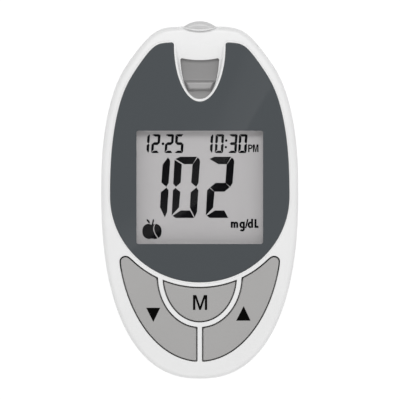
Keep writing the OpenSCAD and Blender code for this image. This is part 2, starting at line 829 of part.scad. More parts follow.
module key_memory() {
    color(key_grey) key_cap(memory_line(key_gap / 2), memory_line(key_gap / 2 + 0.1),
        memory_line(key_gap / 2 + key_round), memory_line(-flange_w), memory_eye);
}

module arrow_key() {
    key_cap(arrow_line(key_gap / 2), arrow_line(key_gap / 2 + 0.1),
        arrow_line(key_gap / 2 + key_round), arrow_line(-flange_w), arrow_eye);
}

module key_up() {
    color(key_grey) arrow_key();
}

module key_down() {
    color(key_grey) mirror([1, 0, 0]) arrow_key();
}

module plunger(p) {
    color("#55565a") translate([p[0], p[1], plunger_low])
        cylinder(r = plunger_r, h = flange_z - plunger_low, $fn = 48);
}

module plunger_memory() {
    plunger(memory_press);
}

module plunger_up() {
    plunger(arrow_press);
}

module plunger_down() {
    plunger([-arrow_press[0], arrow_press[1]]);
}

// ---------- ejector ----------

module ejector_slider() {
    corner = 1;
    plate_len = plate_hi - plate_lo;
    hollow_r = 30;
    hollow_deep = 0.3;
    color(slider_grey) union() {
        difference() {
            translate([0, 0, plate_z]) linear_extrude(plate_t) union() {
                translate([-plate_w / 2, plate_lo + corner]) square([plate_w, plate_len - 2 * corner]);
                translate([-plate_w / 2 + corner, plate_lo]) square([plate_w - 2 * corner, plate_len]);
                for (x = [-1, 1], y = [plate_lo + corner, plate_hi - corner])
                    translate([x * (plate_w / 2 - corner), y]) circle(r = corner, $fn = 32);
            }
            // hollow for the thumb between the ridge and the upper end of the opening
            translate([-slot_a, (ridge_y + ridge_w / 2 + slot_top) / 2, plate_top + hollow_r - hollow_deep])
                rotate([0, 90, 0]) cylinder(r = hollow_r, h = 2 * slot_a, $fn = 96);
        }
        // thumb ridge with bevelled ends, trimmed to the oval of the opening
        intersection() {
            translate([0, 0, plate_top - 0.4]) linear_extrude(3)
                polygon(u_line(slot_a - 0.3, slot_b - 0.3, slot_top - 0.3, slot_sag, 0.5));
            hull() {
                translate([-4.6, ridge_y - ridge_w / 2, plate_top - 0.3]) cube([9.2, ridge_w, 0.3]);
                translate([-2.8, ridge_y - 0.7, plate_top + 1.1]) cube([5.6, 1.5, 0.1]);
            }
        }
        block([-0.9, lug_y, board_top + 0.2], [0.9, lug_y + lug_t, plate_z + eps]);
    }
}

module ejector_arm() {
    color("#6f7073") block([-arm_w / 2, arm_y, arm_z], [arm_w / 2, arm_y + arm_w, plate_z]);
}

module ejector_spring() {
    y0 = lug_y + lug_t;
    color(metal) coil([0, y0, eject_coil_z], eject_coil_r, eject_coil_r, stop_y - y0, 8, eject_wire);
}

// ---------- batteries ----------

module cell(x, up) {
    y = up ? bay_hi - contact_t - slack / 2 : bay_lo + contact_t + slack / 2;
    translate([x, y, cell_z]) rotate([up ? 90 : -90, 0, 0]) {
        cylinder(r = pip_r, h = pip_h + eps, $fn = 48);
        translate([0, 0, pip_h]) cylinder(r = cell_r, h = cell_len - pip_h, $fn = 64);
    }
}

module battery_left() {
    color("#3f7f5a") cell(-cell_x, true);
}

module battery_right() {
    color("#3f7f5a") cell(cell_x, false);
}

// A contact plate at the upper end of the bay, with its tail up to the circuit board
module terminal(x) {
    block([x - contact_half_w, bay_hi - contact_t, contact_lo], [x + contact_half_w, bay_hi, contact_hi]);
    block([x - tail_half_w, bay_hi - contact_t, contact_hi - eps], [x + tail_half_w, bay_hi, board_z]);
}

module cell_spring(x, y) {
    coil([x, y, cell_z], coil_r0, coil_r1, spring_len, 4, coil_wire);
}

module plate_terminal() {
    color(metal) union() terminal(-cell_x);
}

module spring_terminal() {
    color(metal) union() {
        terminal(cell_x);
        cell_spring(cell_x, bay_hi - contact_t - spring_len + slack / 2);
    }
}

module bridge_contact() {
    color(metal) union() {
        block([-cell_x - contact_half_w, bay_lo, contact_lo],
            [cell_x + contact_half_w, bay_lo + contact_t, contact_hi]);
        mirror([0, 1, 0]) cell_spring(-cell_x, -bay_lo - contact_t - spring_len + slack / 2);
    }
}

module battery_door() {
    reach = bay_hi + door_over - door_gap;
    grip = [5, 3.5];
    grip_y = bay_hi - 7;
    grip_deep = 0.5;
    rib_w = 0.7;
    color(white) difference() {
        intersection() {
            rear_body();
            union() {
                block([-bay_half_w + door_gap, low_y - over, door_z],
                    [bay_half_w - door_gap, reach, door_top]);
                block([-bay_half_w - tongue_w + door_gap, low_y - over, lip_z + door_gap],
                    [bay_half_w + tongue_w - door_gap, reach + tongue_w, door_top]);
            }
        }
        // thumb grip: a shallow round-ended hollow with three ribs left standing in it
        difference() {
            translate([0, 0, door_z - over]) linear_extrude(over + grip_deep) union() {
                translate([-grip[0], grip_y - grip[1]]) square([2 * grip[0], 2 * grip[1]]);
                for (x = [-grip[0], grip[0]]) translate([x, grip_y]) circle(r = grip[1], $fn = 48);
            }
            for (k = [-1:1]) block([-grip[0], grip_y + 2 * k - rib_w / 2, -over],
                [grip[0], grip_y + 2 * k + rib_w / 2, case_t]);
        }
    }
}

// ---------- fasteners ----------

// A pan-head screw, head down, with a cross recess: head under z, thread above it
module screw(p, z, r, length, head, height) {
    cross_w = 0.32;
    translate([p[0], p[1], z]) difference() {
        union() {
            translate([0, 0, -height]) cylinder(r = head, h = height, $fn = 48);
            cylinder(r = r, h = length - r, $fn = 32);
            translate([0, 0, length - r]) cylinder(r1 = r, r2 = r * 0.4, h = r, $fn = 32);
        }
        for (a = [0, 90]) rotate(a) translate([-head * 0.6, -cross_w / 2, -height - over])
            cube([head * 1.2, cross_w, over + height * 0.55]);
    }
}

module case_screws() {
    color(metal) for (p = [upper_screw, lower_screw]) both_sides()
        screw(p, seat_z, screw_r, deck_z - screw_tip_gap - seat_z, head_r, head_h);
}

module board_screws() {
    color(metal) for (p = [board_screw_a, board_screw_b]) both_sides()
        screw(p, board_z, board_screw_r, deck_z - board_tip_gap - board_z, board_head_r, board_head_h);
}

rear_case();
front_case();
display_lens();
lens_adhesive();
lcd_front_glass();
lcd_rear_glass();
lcd_reflector();
lcd_holder();
zebra_connector();
circuit_board();
microcontroller();
board_components();
buzzer();
switch_bodies();
strip_connector();
strip_contacts();
port_lip();
key_down();
key_memory();
key_up();
plunger_down();
plunger_memory();
plunger_up();
ejector_slider();
ejector_arm();
ejector_spring();
battery_left();
battery_right();
bridge_contact();
spring_terminal();
plate_terminal();
battery_door();
case_screws();
board_screws();
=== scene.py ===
import math

import bpy
import numpy as np
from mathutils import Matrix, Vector
from mathutils.geometry import delaunay_2d_cdt


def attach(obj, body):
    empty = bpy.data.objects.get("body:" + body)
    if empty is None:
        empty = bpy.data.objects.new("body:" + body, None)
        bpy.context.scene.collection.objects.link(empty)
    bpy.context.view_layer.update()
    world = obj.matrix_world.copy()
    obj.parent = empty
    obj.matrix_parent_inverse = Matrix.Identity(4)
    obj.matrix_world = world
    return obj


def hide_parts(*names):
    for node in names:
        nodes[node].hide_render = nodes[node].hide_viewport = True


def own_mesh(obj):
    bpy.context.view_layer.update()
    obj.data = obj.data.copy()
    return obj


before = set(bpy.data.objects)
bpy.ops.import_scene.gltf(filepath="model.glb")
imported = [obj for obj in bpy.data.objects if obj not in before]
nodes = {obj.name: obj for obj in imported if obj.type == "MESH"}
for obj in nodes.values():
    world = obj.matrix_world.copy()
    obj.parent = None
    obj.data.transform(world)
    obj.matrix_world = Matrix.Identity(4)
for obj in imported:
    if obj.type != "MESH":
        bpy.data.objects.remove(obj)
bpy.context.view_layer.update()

# ---------- Rear case ----------
# The lower half of the case: one injection moulding in white ABS, with the battery bay, the channel
# for the battery door and four screw posts in it. Four screws hold it to the front half from behind.
CASE_W, LOWER_LEN, UPPER_LEN, LIP_OUT = 55.0, 52.5, 45.8, 1.36
CASE_N, TOP_CUT, TOP_ARC_R = 2.36, 1.7, 500.0
SHOULDER, SHOULDER_CUT = 37, 0.26
TOTAL_LEN = LOWER_LEN + UPPER_LEN + LIP_OUT
WIDE_Y = LOWER_LEN - TOTAL_LEN / 2
TOP_Y, LOW_Y = WIDE_Y + UPPER_LEN, WIDE_Y - LOWER_LEN
FACE_Z, SPLIT_Z, WALL, BACK_R = 20.0, 9.5, 1.7, 4.0
GROOVE, TONGUE_IN, TONGUE_H = 0.15, 0.95, 1.1
LENS_Y = WIDE_Y - 1.7
LENS_A = CASE_W / 2 - 2.55
CELL_R, BAY_WALL = 5.25, 1.2
CELL_X, CELL_Z = CELL_R + 0.25, 1.9 + CELL_R
BAY_W = CELL_X + CELL_R + 0.45
BAY_HI = LENS_Y + 16.5
BAY_LO = BAY_HI - 49.5
ROOF_Z = CELL_Z + CELL_R + 0.15
RAIL_W, RAIL_TOP, LIP_Z, SEAT_Z = 2.4, 2.9, 0.8, 2.9
POST_R, HEAD_R, SHANK_R, REST_R, REST_TOP = 2.6, 1.75, 1.05, 1.5, 13.6
SCREWS = [(s * x, y) for x, y in ((LENS_A - 6.45, TOP_Y - 19.5), (21.8, LENS_Y - 8)) for s in (-1, 1)]


def unit(t):
    """Directions at the angles t, in degrees"""
    return np.stack([np.cos(np.radians(t)), np.sin(np.radians(t))], -1)


def soft_min(distances, sharp):
    """The least of some distances, rounded where they cross: the sharper, the tighter"""
    return sum(np.power(r, -sharp) for r in distances) ** (-1 / sharp)


def to_oval(p, t, c, a, b, holds=True):
    """Distance from p along angle t to an ellipse about c that holds p, or else to its near side"""
    axes = np.stack(np.broadcast_arrays(a, b), -1)
    u, q = unit(t) / axes, (np.array(p, float) - c) / axes
    uu, qu = (u * u).sum(-1), (u * q).sum(-1)
    d = qu ** 2 - uu * ((q * q).sum(-1) - 1)
    root = np.sqrt(np.maximum(d, 0))
    if holds:
        return (root - qu) / uu
    return np.where((d <= 0) | (qu >= 0), 1e4, (-qu - root) / uu)


def shoulder(t, a, b, n, lean, cut, d):
    """Distance along angle t to a straight line that takes cut off each shoulder of a superellipse"""
    m = n / (n - 1)
    across, along = unit(lean) * (a, b)
    far = (across ** m + along ** m) ** (1 / m) - cut
    return np.abs((far - d) / np.cos(np.radians(np.abs(t % 360 - 90) + lean - 90)))


def case_reach(t, d):
    """Distance from the middle of the widest line to the case outline drawn in by d. It is half a
    superellipse above and below, the upper one cut by a shallow arc and by two straight shoulders"""
    c, s = np.abs(unit(t)).T
    up = np.sin(np.radians(t)) > 0
    b = np.where(up, UPPER_LEN + TOP_CUT, LOWER_LEN) - d
    oval = ((c / (CASE_W / 2 - d)) ** CASE_N + (s / b) ** CASE_N) ** (-1 / CASE_N)
    arc = to_oval((0, 0), t, (0, UPPER_LEN - TOP_ARC_R), TOP_ARC_R - d, TOP_ARC_R - d)
    over = shoulder(t, CASE_W / 2, UPPER_LEN + TOP_CUT, CASE_N, SHOULDER, SHOULDER_CUT, d)
    return np.where(up, soft_min([oval, arc, over], 80), oval)


def case_line(t, d):
    return np.array([0, WIDE_Y]) + case_reach(t, d)[:, None] * unit(t)


def spread(curve, lo, hi, step=0.7, turn=5.0):
    """Values of t along a closed curve, closer together where it bends"""
    t = np.linspace(lo, hi, 6001)
    v = np.diff(curve(t, 0.0), axis=0)
    heading = np.unwrap(np.arctan2(v[:, 1], v[:, 0]))
    bend = np.abs(np.diff(heading, prepend=heading[0]))
    cost = np.concatenate([[0], np.cumsum(np.hypot(*v.T) / step + bend / math.radians(turn))])
    n = math.ceil(cost[-1])
    return np.interp(np.arange(n) * cost[-1] / n, cost, t)


def inside(points, loops):
    """Which points lie inside an odd number of closed loops"""
    odd = np.zeros(len(points), bool)
    x, y = points[:, :1], points[:, 1:]
    for loop in loops:
        ax, ay = loop.T
        bx, by = np.roll(loop, -1, 0).T
        span = (ay > y) != (by > y)
        cross = ax + (y - ay) * (bx - ax) / np.where(by == ay, 1e-9, by - ay)
        odd ^= (span & (x < cross)).sum(1) % 2 == 1
    return odd


class Skin:
    """Points and faces of one closed surface, in millimetres, built from rings of points"""

    def __init__(self):
        self.points, self.faces, self.marks = [], [], []
        self.count = 0

    def ring(self, line, z):
        z = np.broadcast_to(z, len(line))
        self.points.append(np.column_stack([line, z]).astype(np.float32).astype(float))
        self.count += len(line)
        return np.arange(self.count - len(line), self.count)

    def at(self, ring):
        return np.concatenate(self.points)[ring]

    def walls(self, rings, mark=0):
        """Quads between rings of equally many points"""
        for a, b in zip(rings, rings[1:]):
            quads = np.stack([a, np.roll(a, -1), np.roll(b, -1), b], -1)
            self.faces += quads.tolist()
            self.marks += [mark] * len(quads)

    def solid(self, rings, *top):
        """Walls between rings, closed at both ends. top says how the last one is filled"""
        self.walls(rings)
        self.fill(rings[:1], False)
        self.fill(rings[-1:], True, *top)

    def fill(self, rings, up, height=None, pitch=0, inner=None):
        """Triangles between an outer ring and the rings of its holes, over a lattice of points that
        height puts on the surface. inner is a loop inside which faces get mark 1"""
        if len(rings) == 1 and inner is None and height is None:
            self.faces.append((rings[0] if up else rings[0][::-1]).tolist())
            self.marks.append(0)
            return
        loops = [self.at(r)[:, :2] for r in rings]
        if inner is not None:
            rings = rings + [self.ring(inner, height(inner) if height else self.at(rings[0][:1])[0, 2])]
        index, edges = np.concatenate(rings), []
        for r in rings:
            start, n = len(edges), len(r)
            edges += [(start + i, start + (i + 1) % n) for i in range(n)]
        flat = self.at(index)[:, :2]
        if pitch:
            lo, hi = flat.min(0), flat.max(0)
            xs = np.arange(lo[0] + pitch / 3, hi[0], pitch)
            ys = np.arange(lo[1] + pitch / 3, hi[1], pitch * 0.866)
            grid = np.array([(x + (j % 2) * pitch / 2, y) for j, y in enumerate(ys) for x in xs])
            grid = grid[inside(grid, loops)]
            near = np.array([np.hypot(*(flat - g).T).min() for g in grid])
            grid = grid[near > 0.6 * pitch]
            own = self.ring(grid, height(grid))
            index, flat = np.concatenate([index, own]), np.concatenate([flat, self.at(own)[:, :2]])
        out = delaunay_2d_cdt([Vector(p) for p in flat.tolist()], edges, [], 0, 1e-6)
        name = np.array([own[0] if own else -1 for own in out[3]])
        tris = np.array([f for f in out[2] if all(name[i] >= 0 for i in f)])
        tris = name[tris]
        middle = flat[tris].mean(1)
        keep = inside(middle, loops)
        tris, middle = tris[keep], middle[keep]
        mark = inside(middle, [inner]).astype(int) if inner is not None else np.zeros(len(tris), int)
        self.faces += index[tris if up else tris[:, ::-1]].tolist()
        self.marks += mark.tolist()

    def mesh(self, name):
        made = bpy.data.meshes.new(name)
        made.from_pydata((np.concatenate(self.points) / 1000).tolist(), [], self.faces)
        made.polygons.foreach_set("material_index", self.marks)
        made.validate()
        made.update()
        return made

    def piece(self, name):
        return shape(name, self.mesh(name))


def shape(name, mesh):
    made = bpy.data.objects.new(name, mesh)
    bpy.context.scene.collection.objects.link(made)
    return made


def prism(loops, z0, z1):
    """A closed upright solid on an outer loop and the loops of its holes"""
    skin = Skin()
    low = [skin.ring(np.array(p, float), z0) for p in loops]
    high = [skin.ring(np.array(p, float), z1) for p in loops]
    skin.walls([low[0], high[0]])
    for a, b in zip(low[1:], high[1:]):
        skin.walls([b, a])
    skin.fill(low, False)
    skin.fill(high, True)
    return skin.piece("tool")


def block(half, y0, y1, z0, z1):
    """A box that reaches half to each side of the middle"""
    return prism([[(-half, y0), (half, y0), (half, y1), (-half, y1)]], z0, z1)


def post(x, y, r, z0, z1, sides=48):
    return prism([np.array([x, y]) + r * unit(np.arange(sides) * 360 / sides)], z0, z1)


def settle(obj):
    """Makes what an object's modifiers do its own mesh"""
    graph = bpy.context.evaluated_depsgraph_get()
    made = bpy.data.meshes.new_from_object(obj.evaluated_get(graph))
    obj.modifiers.clear()
    obj.data = made


def carve(obj, how, tools):
    """Joins the tools to obj, cuts them from it, or keeps what lies in them, and removes the tools"""
    for tool in tools:
        step = obj.modifiers.new("step", "BOOLEAN")
        step.operation, step.solver, step.object = how, "EXACT", tool
    settle(obj)
    for tool in tools:
        bpy.data.objects.remove(tool)


def smooth(obj, angle=32):
    """Shades a moulded piece smooth, with its true edges sharp and its flats kept flat"""
    obj.data.shade_smooth()
    obj.data.set_sharp_from_angle(angle=math.radians(angle))
    even = obj.modifiers.new("even", "WEIGHTED_NORMAL")
    even.keep_sharp = True
    settle(obj)


def linear(code):
    """sRGB hex to linear colour"""
    parts = [int(code[i:i + 2], 16) / 255 for i in (1, 3, 5)]
    return [v / 12.92 if v <= 0.04045 else ((v + 0.055) / 1.055) ** 2.4 for v in parts] + [1]


def add(tree, kind, links=None, **settings):
    """Adds a node: settings are its own, links are its sockets' values or what feeds them, where a
    node stands for its first output"""
    made = tree.nodes.new("ShaderNode" + kind)
    for key, value in settings.items():
        setattr(made, key, value)
    for key, value in (links or {}).items():
        if isinstance(value, bpy.types.Node):
            value = value.outputs[0]
        if isinstance(value, bpy.types.NodeSocket):
            tree.links.new(value, made.inputs[key])
        else:
            made.inputs[key].default_value = value
    return made


def begin(name):
    """A new material with an empty tree"""
    made = bpy.data.materials.new(name)
    made.use_nodes = True
    made.node_tree.nodes.clear()
    return made, made.node_tree


def moulded(name, colour, rough, grain=0.35, depth=0.004, coat=0.0, ior=1.53, drift=0.03, wear=0.04):
    """Injection-moulded plastic: grain in mm is the texture of the mould, depth in mm its height,
    drift the slight unevenness of the colour over some 12 mm where the melt flowed, and wear how far
    the gloss varies with the grain. A real etch is under 0.1 mm, and is drawn coarser so that it shows"""
    made, tree = begin(name)
    place = add(tree, "TexCoord").outputs["Object"]
    flow = add(tree, "TexNoise", {"Vector": place, "Scale": 1 / 0.012, "Detail": 2.0})
    speck = add(tree, "TexNoise", {"Vector": place, "Scale": 1000 / grain, "Detail": 3.0})
    base = linear(colour)
    lo = [v * (1 - drift) for v in base[:3]] + [1]
    hi = [min(1, v * (1 + drift)) for v in base[:3]] + [1]
    tone = add(tree, "Mix", {0: flow, 6: lo, 7: hi}, data_type="RGBA")
    sheen = add(tree, "MapRange", {0: speck, 1: 0.3, 2: 0.7, 3: rough - wear, 4: rough + wear})
    bump = add(tree, "Bump", {"Height": speck, "Distance": depth / 1000, "Strength": 0.6})
    skin = add(tree, "BsdfPrincipled", {
        "Base Color": tone.outputs[2], "Roughness": sheen, "IOR": ior,
        "Normal": bump, "Coat Weight": coat, "Coat Roughness": 0.06})
    add(tree, "OutputMaterial", {"Surface": skin})
    return made


def fit(obj, materials, body, slot, *stands_for):
    """Gives a piece its materials, the body that it rides on and the nodes that it stands for"""
    for i, m in enumerate(materials):
        if i < len(obj.data.materials):
            obj.data.materials[i] = m
        else:
            obj.data.materials.append(m)
    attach(obj, body)
    if stands_for:
        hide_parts(*stands_for)


def rounded(r, degrees):
    """How far a rounded edge of radius r comes in and falls, at angles from its wall"""
    return [(r * (1 - math.sin(p)), r * (1 - math.cos(p))) for p in np.radians(degrees)]


# White ABS, moulded against a finely etched tool: a soft even sheen that shows no sharp reflection
white_abs = moulded("ABS moulded, white satin", "#e9e9e9", 0.42)

skin = Skin()
CASE_T = spread(case_line, 90, 450, 0.8, 3)
outside = [(4.6, 0), (BACK_R, 0)] + rounded(BACK_R, range(10, 91, 10)) + [(0, SPLIT_Z - GROOVE - 0.3)]
path = outside + [(0, SPLIT_Z - GROOVE), (GROOVE, SPLIT_Z), (TONGUE_IN, SPLIT_Z),
                  (TONGUE_IN, SPLIT_Z + TONGUE_H), (WALL, SPLIT_Z + TONGUE_H)]
path += [(WALL + into, WALL + up) for into, up in rounded(BACK_R - WALL, (90, 60, 30, 0))]
skin.solid([skin.ring(case_line(CASE_T, d), z) for d, z in path])
rear = skin.piece("rear_shell")
slab = prism([case_line(CASE_T, 1.4)], 1.2, RAIL_TOP)
carve(slab, "INTERSECT", [block(BAY_W + RAIL_W, LOW_Y, BAY_HI + RAIL_W, 0, 5)])
bay = block(BAY_W + BAY_WALL, BAY_LO - BAY_WALL, BAY_HI + BAY_WALL, BAY_WALL, ROOF_Z + 0.8)
posts = [post(x, y, POST_R, LIP_Z, SPLIT_Z - 0.1) for x, y in SCREWS]
rests = [post(s * (BAY_W + 4.6), y, REST_R, LIP_Z, REST_TOP) for y in (BAY_LO, BAY_HI - 3.5) for s in (-1, 1)]
carve(rear, "UNION", [slab, bay] + posts + rests)
tools = [
    block(BAY_W, BAY_LO, BAY_HI, LIP_Z, ROOF_Z),
    block(BAY_W, LOW_Y - 1, BAY_HI + 0.6, -1, LIP_Z + 0.01),
    block(BAY_W + 1.15, LOW_Y - 1, BAY_HI + 1.9, LIP_Z, 1.8),
    block(6.2, TOP_Y - WALL - 1, TOP_Y - WALL / 2, SPLIT_Z, SPLIT_Z + TONGUE_H + 1),
]
tools += [post(x, y, HEAD_R, -1, SEAT_Z) for x, y in SCREWS]
tools += [post(x, y, SHANK_R, 2.5, SPLIT_Z) for x, y in SCREWS]
carve(rear, "DIFFERENCE", tools)
smooth(rear)
fit(rear, [white_abs], "housing", "white_abs", "rear_case")

# ---------- Battery door ----------
# A flat cover that slides off towards the lower end, moulded in the same white ABS as the case. Its
# long edges run in the channel of the rear case, and three ribs in a hollow give the thumb a hold.
DOOR_GAP, DOOR_TOP, GRIP_Y, GRIP_W, GRIP_R, RIB_W = 0.15, 1.65, BAY_HI - 7, 5, 3.5, 0.7
skin = Skin()
skin.solid([skin.ring(case_line(CASE_T, d), z) for d, z in outside])
door = skin.piece("door_cover")
reach = BAY_HI + 0.45
plate = block(BAY_W - DOOR_GAP, LOW_Y - 1, reach, DOOR_GAP, DOOR_TOP)
carve(plate, "UNION", [block(BAY_W + 1, LOW_Y - 1, reach + 1.15, 0.95, DOOR_TOP)])
carve(door, "INTERSECT", [plate])
grip = np.concatenate([[GRIP_W, GRIP_Y] + GRIP_R * unit(np.arange(-90, 91, 7.5)),
                       [-GRIP_W, GRIP_Y] + GRIP_R * unit(np.arange(90, 271, 7.5))])
hollow = prism([grip], -1, 0.65)
carve(hollow, "DIFFERENCE", [block(GRIP_W, y - RIB_W / 2, y + RIB_W / 2, -2, 3)
                             for y in (GRIP_Y - 2, GRIP_Y, GRIP_Y + 2)])
carve(door, "DIFFERENCE", [hollow])
smooth(door)
fit(door, [white_abs], "door", "white_abs", "battery_door")

# ---------- Cells ----------
# Two AAA cells, lying side by side and opposite ways round. A drawn steel can in a printed film
# sleeve that is shrunk over both its ends, with the raised pip of the positive pole.
CELL_LEN = 44.5


def lathe(name, profile, sides=64, marks=None):
    """A turned solid about +Z from (radius, height) pairs, closed at both ends"""
    skin = Skin()
    t = np.arange(sides) * 360 / sides
    rings = [skin.ring(r * unit(t), z) for r, z in profile]
    for k, pair in enumerate(zip(rings, rings[1:])):
        skin.walls(pair, marks[k] if marks else 0)
    skin.fill(rings[:1], False)
    skin.fill(rings[-1:], True)
    return skin.piece(name)


def plated(name, colour, mark, detail, bright, dull):
    """Plated metal: marks of some tenths of a millimetre that make it brighter and duller"""
    made, tree = begin(name)
    place = add(tree, "TexCoord").outputs["Object"]
    marks = add(tree, "TexNoise", {"Vector": place, "Scale": 1000 / mark, "Detail": detail})
    shine = add(tree, "MapRange", {0: marks, 1: 0.3, 2: 0.7, 3: bright, 4: dull})
    metal = add(tree, "BsdfPrincipled", {"Base Color": linear(colour), "Metallic": 1.0, "Roughness": shine})
    add(tree, "OutputMaterial", {"Surface": metal})
    return made


def mottled(name, low, high, size, detail, finish):
    """A surface whose colour drifts between two tones over size in mm"""
    made, tree = begin(name)
    place = add(tree, "TexCoord").outputs["Object"]
    cloud = add(tree, "TexNoise", {"Vector": place, "Scale": 1000 / size, "Detail": detail})
    tone = add(tree, "Mix", {0: cloud, 6: linear(low), 7: linear(high)}, data_type="RGBA")
    skin = add(tree, "BsdfPrincipled", {"Base Color": tone.outputs[2], **finish})
    add(tree, "OutputMaterial", {"Surface": skin})
    return made


# Nickel-plated steel, drawn and tumbled: a grey-white metal with fine marks
nickel = plated("steel drawn, nickel-plated", "#c9cbcc", 0.4, 3.0, 0.22, 0.36)
# Shrunk film: a glossy printed colour, a little cloudy where the film has stretched
FILM_FINISH = {"Roughness": 0.28, "IOR": 1.5, "Coat Weight": 0.5}
green = mottled("printed film sleeve, green gloss", "#3c7a57", "#44845f", 0.6, 2.0, FILM_FINISH)
silver = mottled("printed film sleeve, silver band", "#b4b7b8", "#bfc2c3", 0.6, 2.0, FILM_FINISH)
r, n = CELL_R, CELL_LEN
cell_profile = [(3.9, 0.25), (4.1, 0.12), (4.35, 0.0), (r - 0.45, 0), (r - 0.14, 0.14), (r, 0.5), (r, n - 9),
                (r, n - 1.4), (r - 0.12, n - 1.1), (r - 0.4, n - 0.9), (4.3, n - 0.85),
                (4.1, n - 1.1), (2.3, n - 1.05), (1.95, n - 0.8), (1.9, n - 0.2), (1.7, n)]
for name, s in (("battery_left", -1), ("battery_right", 1)):
    cell = lathe("cell_" + name[8:], cell_profile, 72, [0, 0, 0, 1, 1, 1, 2, 2, 2, 2, 0, 0, 0, 0, 0])
    y = BAY_HI - 0.35 - n if s < 0 else BAY_LO + 0.35 + n
    for v in cell.data.vertices:
        v.co = Vector((v.co.x, -s * v.co.z, s * v.co.y)) + Vector((s * CELL_X, y, CELL_Z)) / 1000
    smooth(cell, 40)
    fit(cell, [nickel, green, silver], "housing", "cell_jacket", name)

# ---------- Battery contacts ----------
# Three contacts stamped from nickel-plated spring steel and pressed into slots at the ends of the
# bay. Two carry a tapered spring of the same wire that pushes on the flat end of a cell.
STRIP_T, STRIP_HALF, STRIP_LO, STRIP_HI, CLIP = 0.3, 3.6, CELL_Z - 4.2, CELL_Z + 4.4, 0.5
TAIL_HALF, TAIL_Z = 0.75, 13.6
CONE = dict(r0=3.4, r1=2.2, length=4.3, turns=4, wire=0.5)


def wind(skin, at, way, r0, r1, length, turns, wire, steps=28, sides=12):
    """A spring of round wire with closed ends, from at towards way, which is 1 for +Y and -1 for -Y"""
    f = unit(np.arange(sides) * 360 / sides) * wire / 2
    rings = []
    for t in np.linspace(0, turns, turns * steps + 1):
        c, s = unit(360 * t * way)
        y = np.interp(t, [0, 1, turns - 1, turns],
                      [0.5 * wire, 1.5 * wire, length - 1.5 * wire, length - 0.5 * wire])
        out = r0 + (r1 - r0) * t / turns + f[:, 0]
        rings.append(skin.ring(np.stack([at[0] + out * c, at[1] + way * y + f[:, 1]], -1), at[2] + out * s))
        if len(rings) > 1:
            skin.walls(rings[-2:])
    skin.faces += [rings[0][::-1].tolist(), rings[-1].tolist()]
    skin.marks += [0, 0]


def stamp(skin, loop, y0, y1):
    """A flat stamping on a loop of (x, z) that runs anticlockwise seen from -Y"""
    x, z = np.array(loop, float).T
    near, far = (skin.ring(np.stack([x, np.full(len(x), y)], -1), z) for y in (y0, y1))
    skin.walls([far, near])
    skin.faces += [near.tolist(), far[::-1].tolist()]
    skin.marks += [0, 0]


def tailed(x):
    """A contact plate with clipped corners and a tail that is soldered to the board"""
    half = [(TAIL_HALF, TAIL_Z), (TAIL_HALF, STRIP_HI), (STRIP_HALF - CLIP, STRIP_HI),
            (STRIP_HALF, STRIP_HI - CLIP), (STRIP_HALF, STRIP_LO + CLIP), (STRIP_HALF - CLIP, STRIP_LO)]
    return [(x - u, v) for u, v in half] + [(x + u, v) for u, v in half[::-1]]


skin = Skin()
stamp(skin, tailed(-CELL_X), BAY_HI - STRIP_T, BAY_HI)
fit(skin.piece("contact_plate"), [nickel], "housing", "spring_steel", "plate_terminal")
skin = Skin()
stamp(skin, tailed(CELL_X), BAY_HI - STRIP_T, BAY_HI)
wind(skin, (CELL_X, BAY_HI - STRIP_T + 0.01, CELL_Z), -1, **CONE)
contact = skin.piece("contact_spring")
smooth(contact, 40)
fit(contact, [nickel], "housing", "spring_steel", "spring_terminal")
skin = Skin()
wide = CELL_X + STRIP_HALF
end = [(wide - CLIP, STRIP_LO), (wide, STRIP_LO + CLIP), (wide, STRIP_HI - CLIP), (wide - CLIP, STRIP_HI)]
stamp(skin, [(-wide, STRIP_LO + CLIP), (-wide + CLIP, STRIP_LO)] + end
      + [(-wide + CLIP, STRIP_HI), (-wide, STRIP_HI - CLIP)], BAY_LO, BAY_LO + STRIP_T)
wind(skin, (-CELL_X, BAY_LO + STRIP_T - 0.01, CELL_Z), 1, **CONE)
contact = skin.piece("contact_bridge")
smooth(contact, 40)
fit(contact, [nickel], "housing", "spring_steel", "bridge_contact")

# ---------- Case screws ----------
# Four thread-forming screws in zinc-plated steel with a domed head and a cross recess. They are driven
# from the back through the posts of the rear half into the front half.
HEAD, SHANK, CROSS, SLIT = 1.55, 0.85, 0.95, 0.16
# Bright zinc with a faint blotchy passivation, duller than the nickel of the contacts
ZINC_FINISH = {"Metallic": 1.0, "Roughness": 0.38}
zinc = mottled("steel screw, zinc-plated", "#a9adb0", "#c6c8c9", 0.8, 2.0, ZINC_FINISH)
profile = [(HEAD * math.sin(p), 1.7 + 0.5 * (1 - math.cos(p))) for p in np.radians(np.arange(15, 91, 15))]
profile += [(HEAD, 2.8), (HEAD - 0.1, SEAT_Z), (SHANK, SEAT_Z), (SHANK, 13.45), (0.34, 14.3)]
screw = lathe("screw", profile, 48)
arm = [(-CROSS, -SLIT), (-SLIT, -SLIT), (-SLIT, -CROSS), (SLIT, -CROSS), (SLIT, -SLIT), (CROSS, -SLIT)]
carve(screw, "DIFFERENCE", [prism([arm + [(-x, -y) for x, y in arm]], 1, 2.36)])
points = np.array([v.co[:] for v in screw.data.vertices])
faces = [np.array(f.vertices[:]) for f in screw.data.polygons]
four = bpy.data.meshes.new("screws")
four.from_pydata(np.concatenate([points + (x / 1000, y / 1000, 0) for x, y in SCREWS]).tolist(), [],
                 [(f + k * len(points)).tolist() for k in range(4) for f in faces])
bpy.data.objects.remove(screw)
screws = shape("case_screw_set", four)
smooth(screws)
fit(screws, [zinc], "housing", "screw_steel", "case_screws")

# ---------- Inner parts that the case hides ----------
# The circuit board with its parts, the strip connector and the contacts: FR4 laminate, moulded
# resin and stamped spring strip, clipped and soldered. They show only where the case is open.

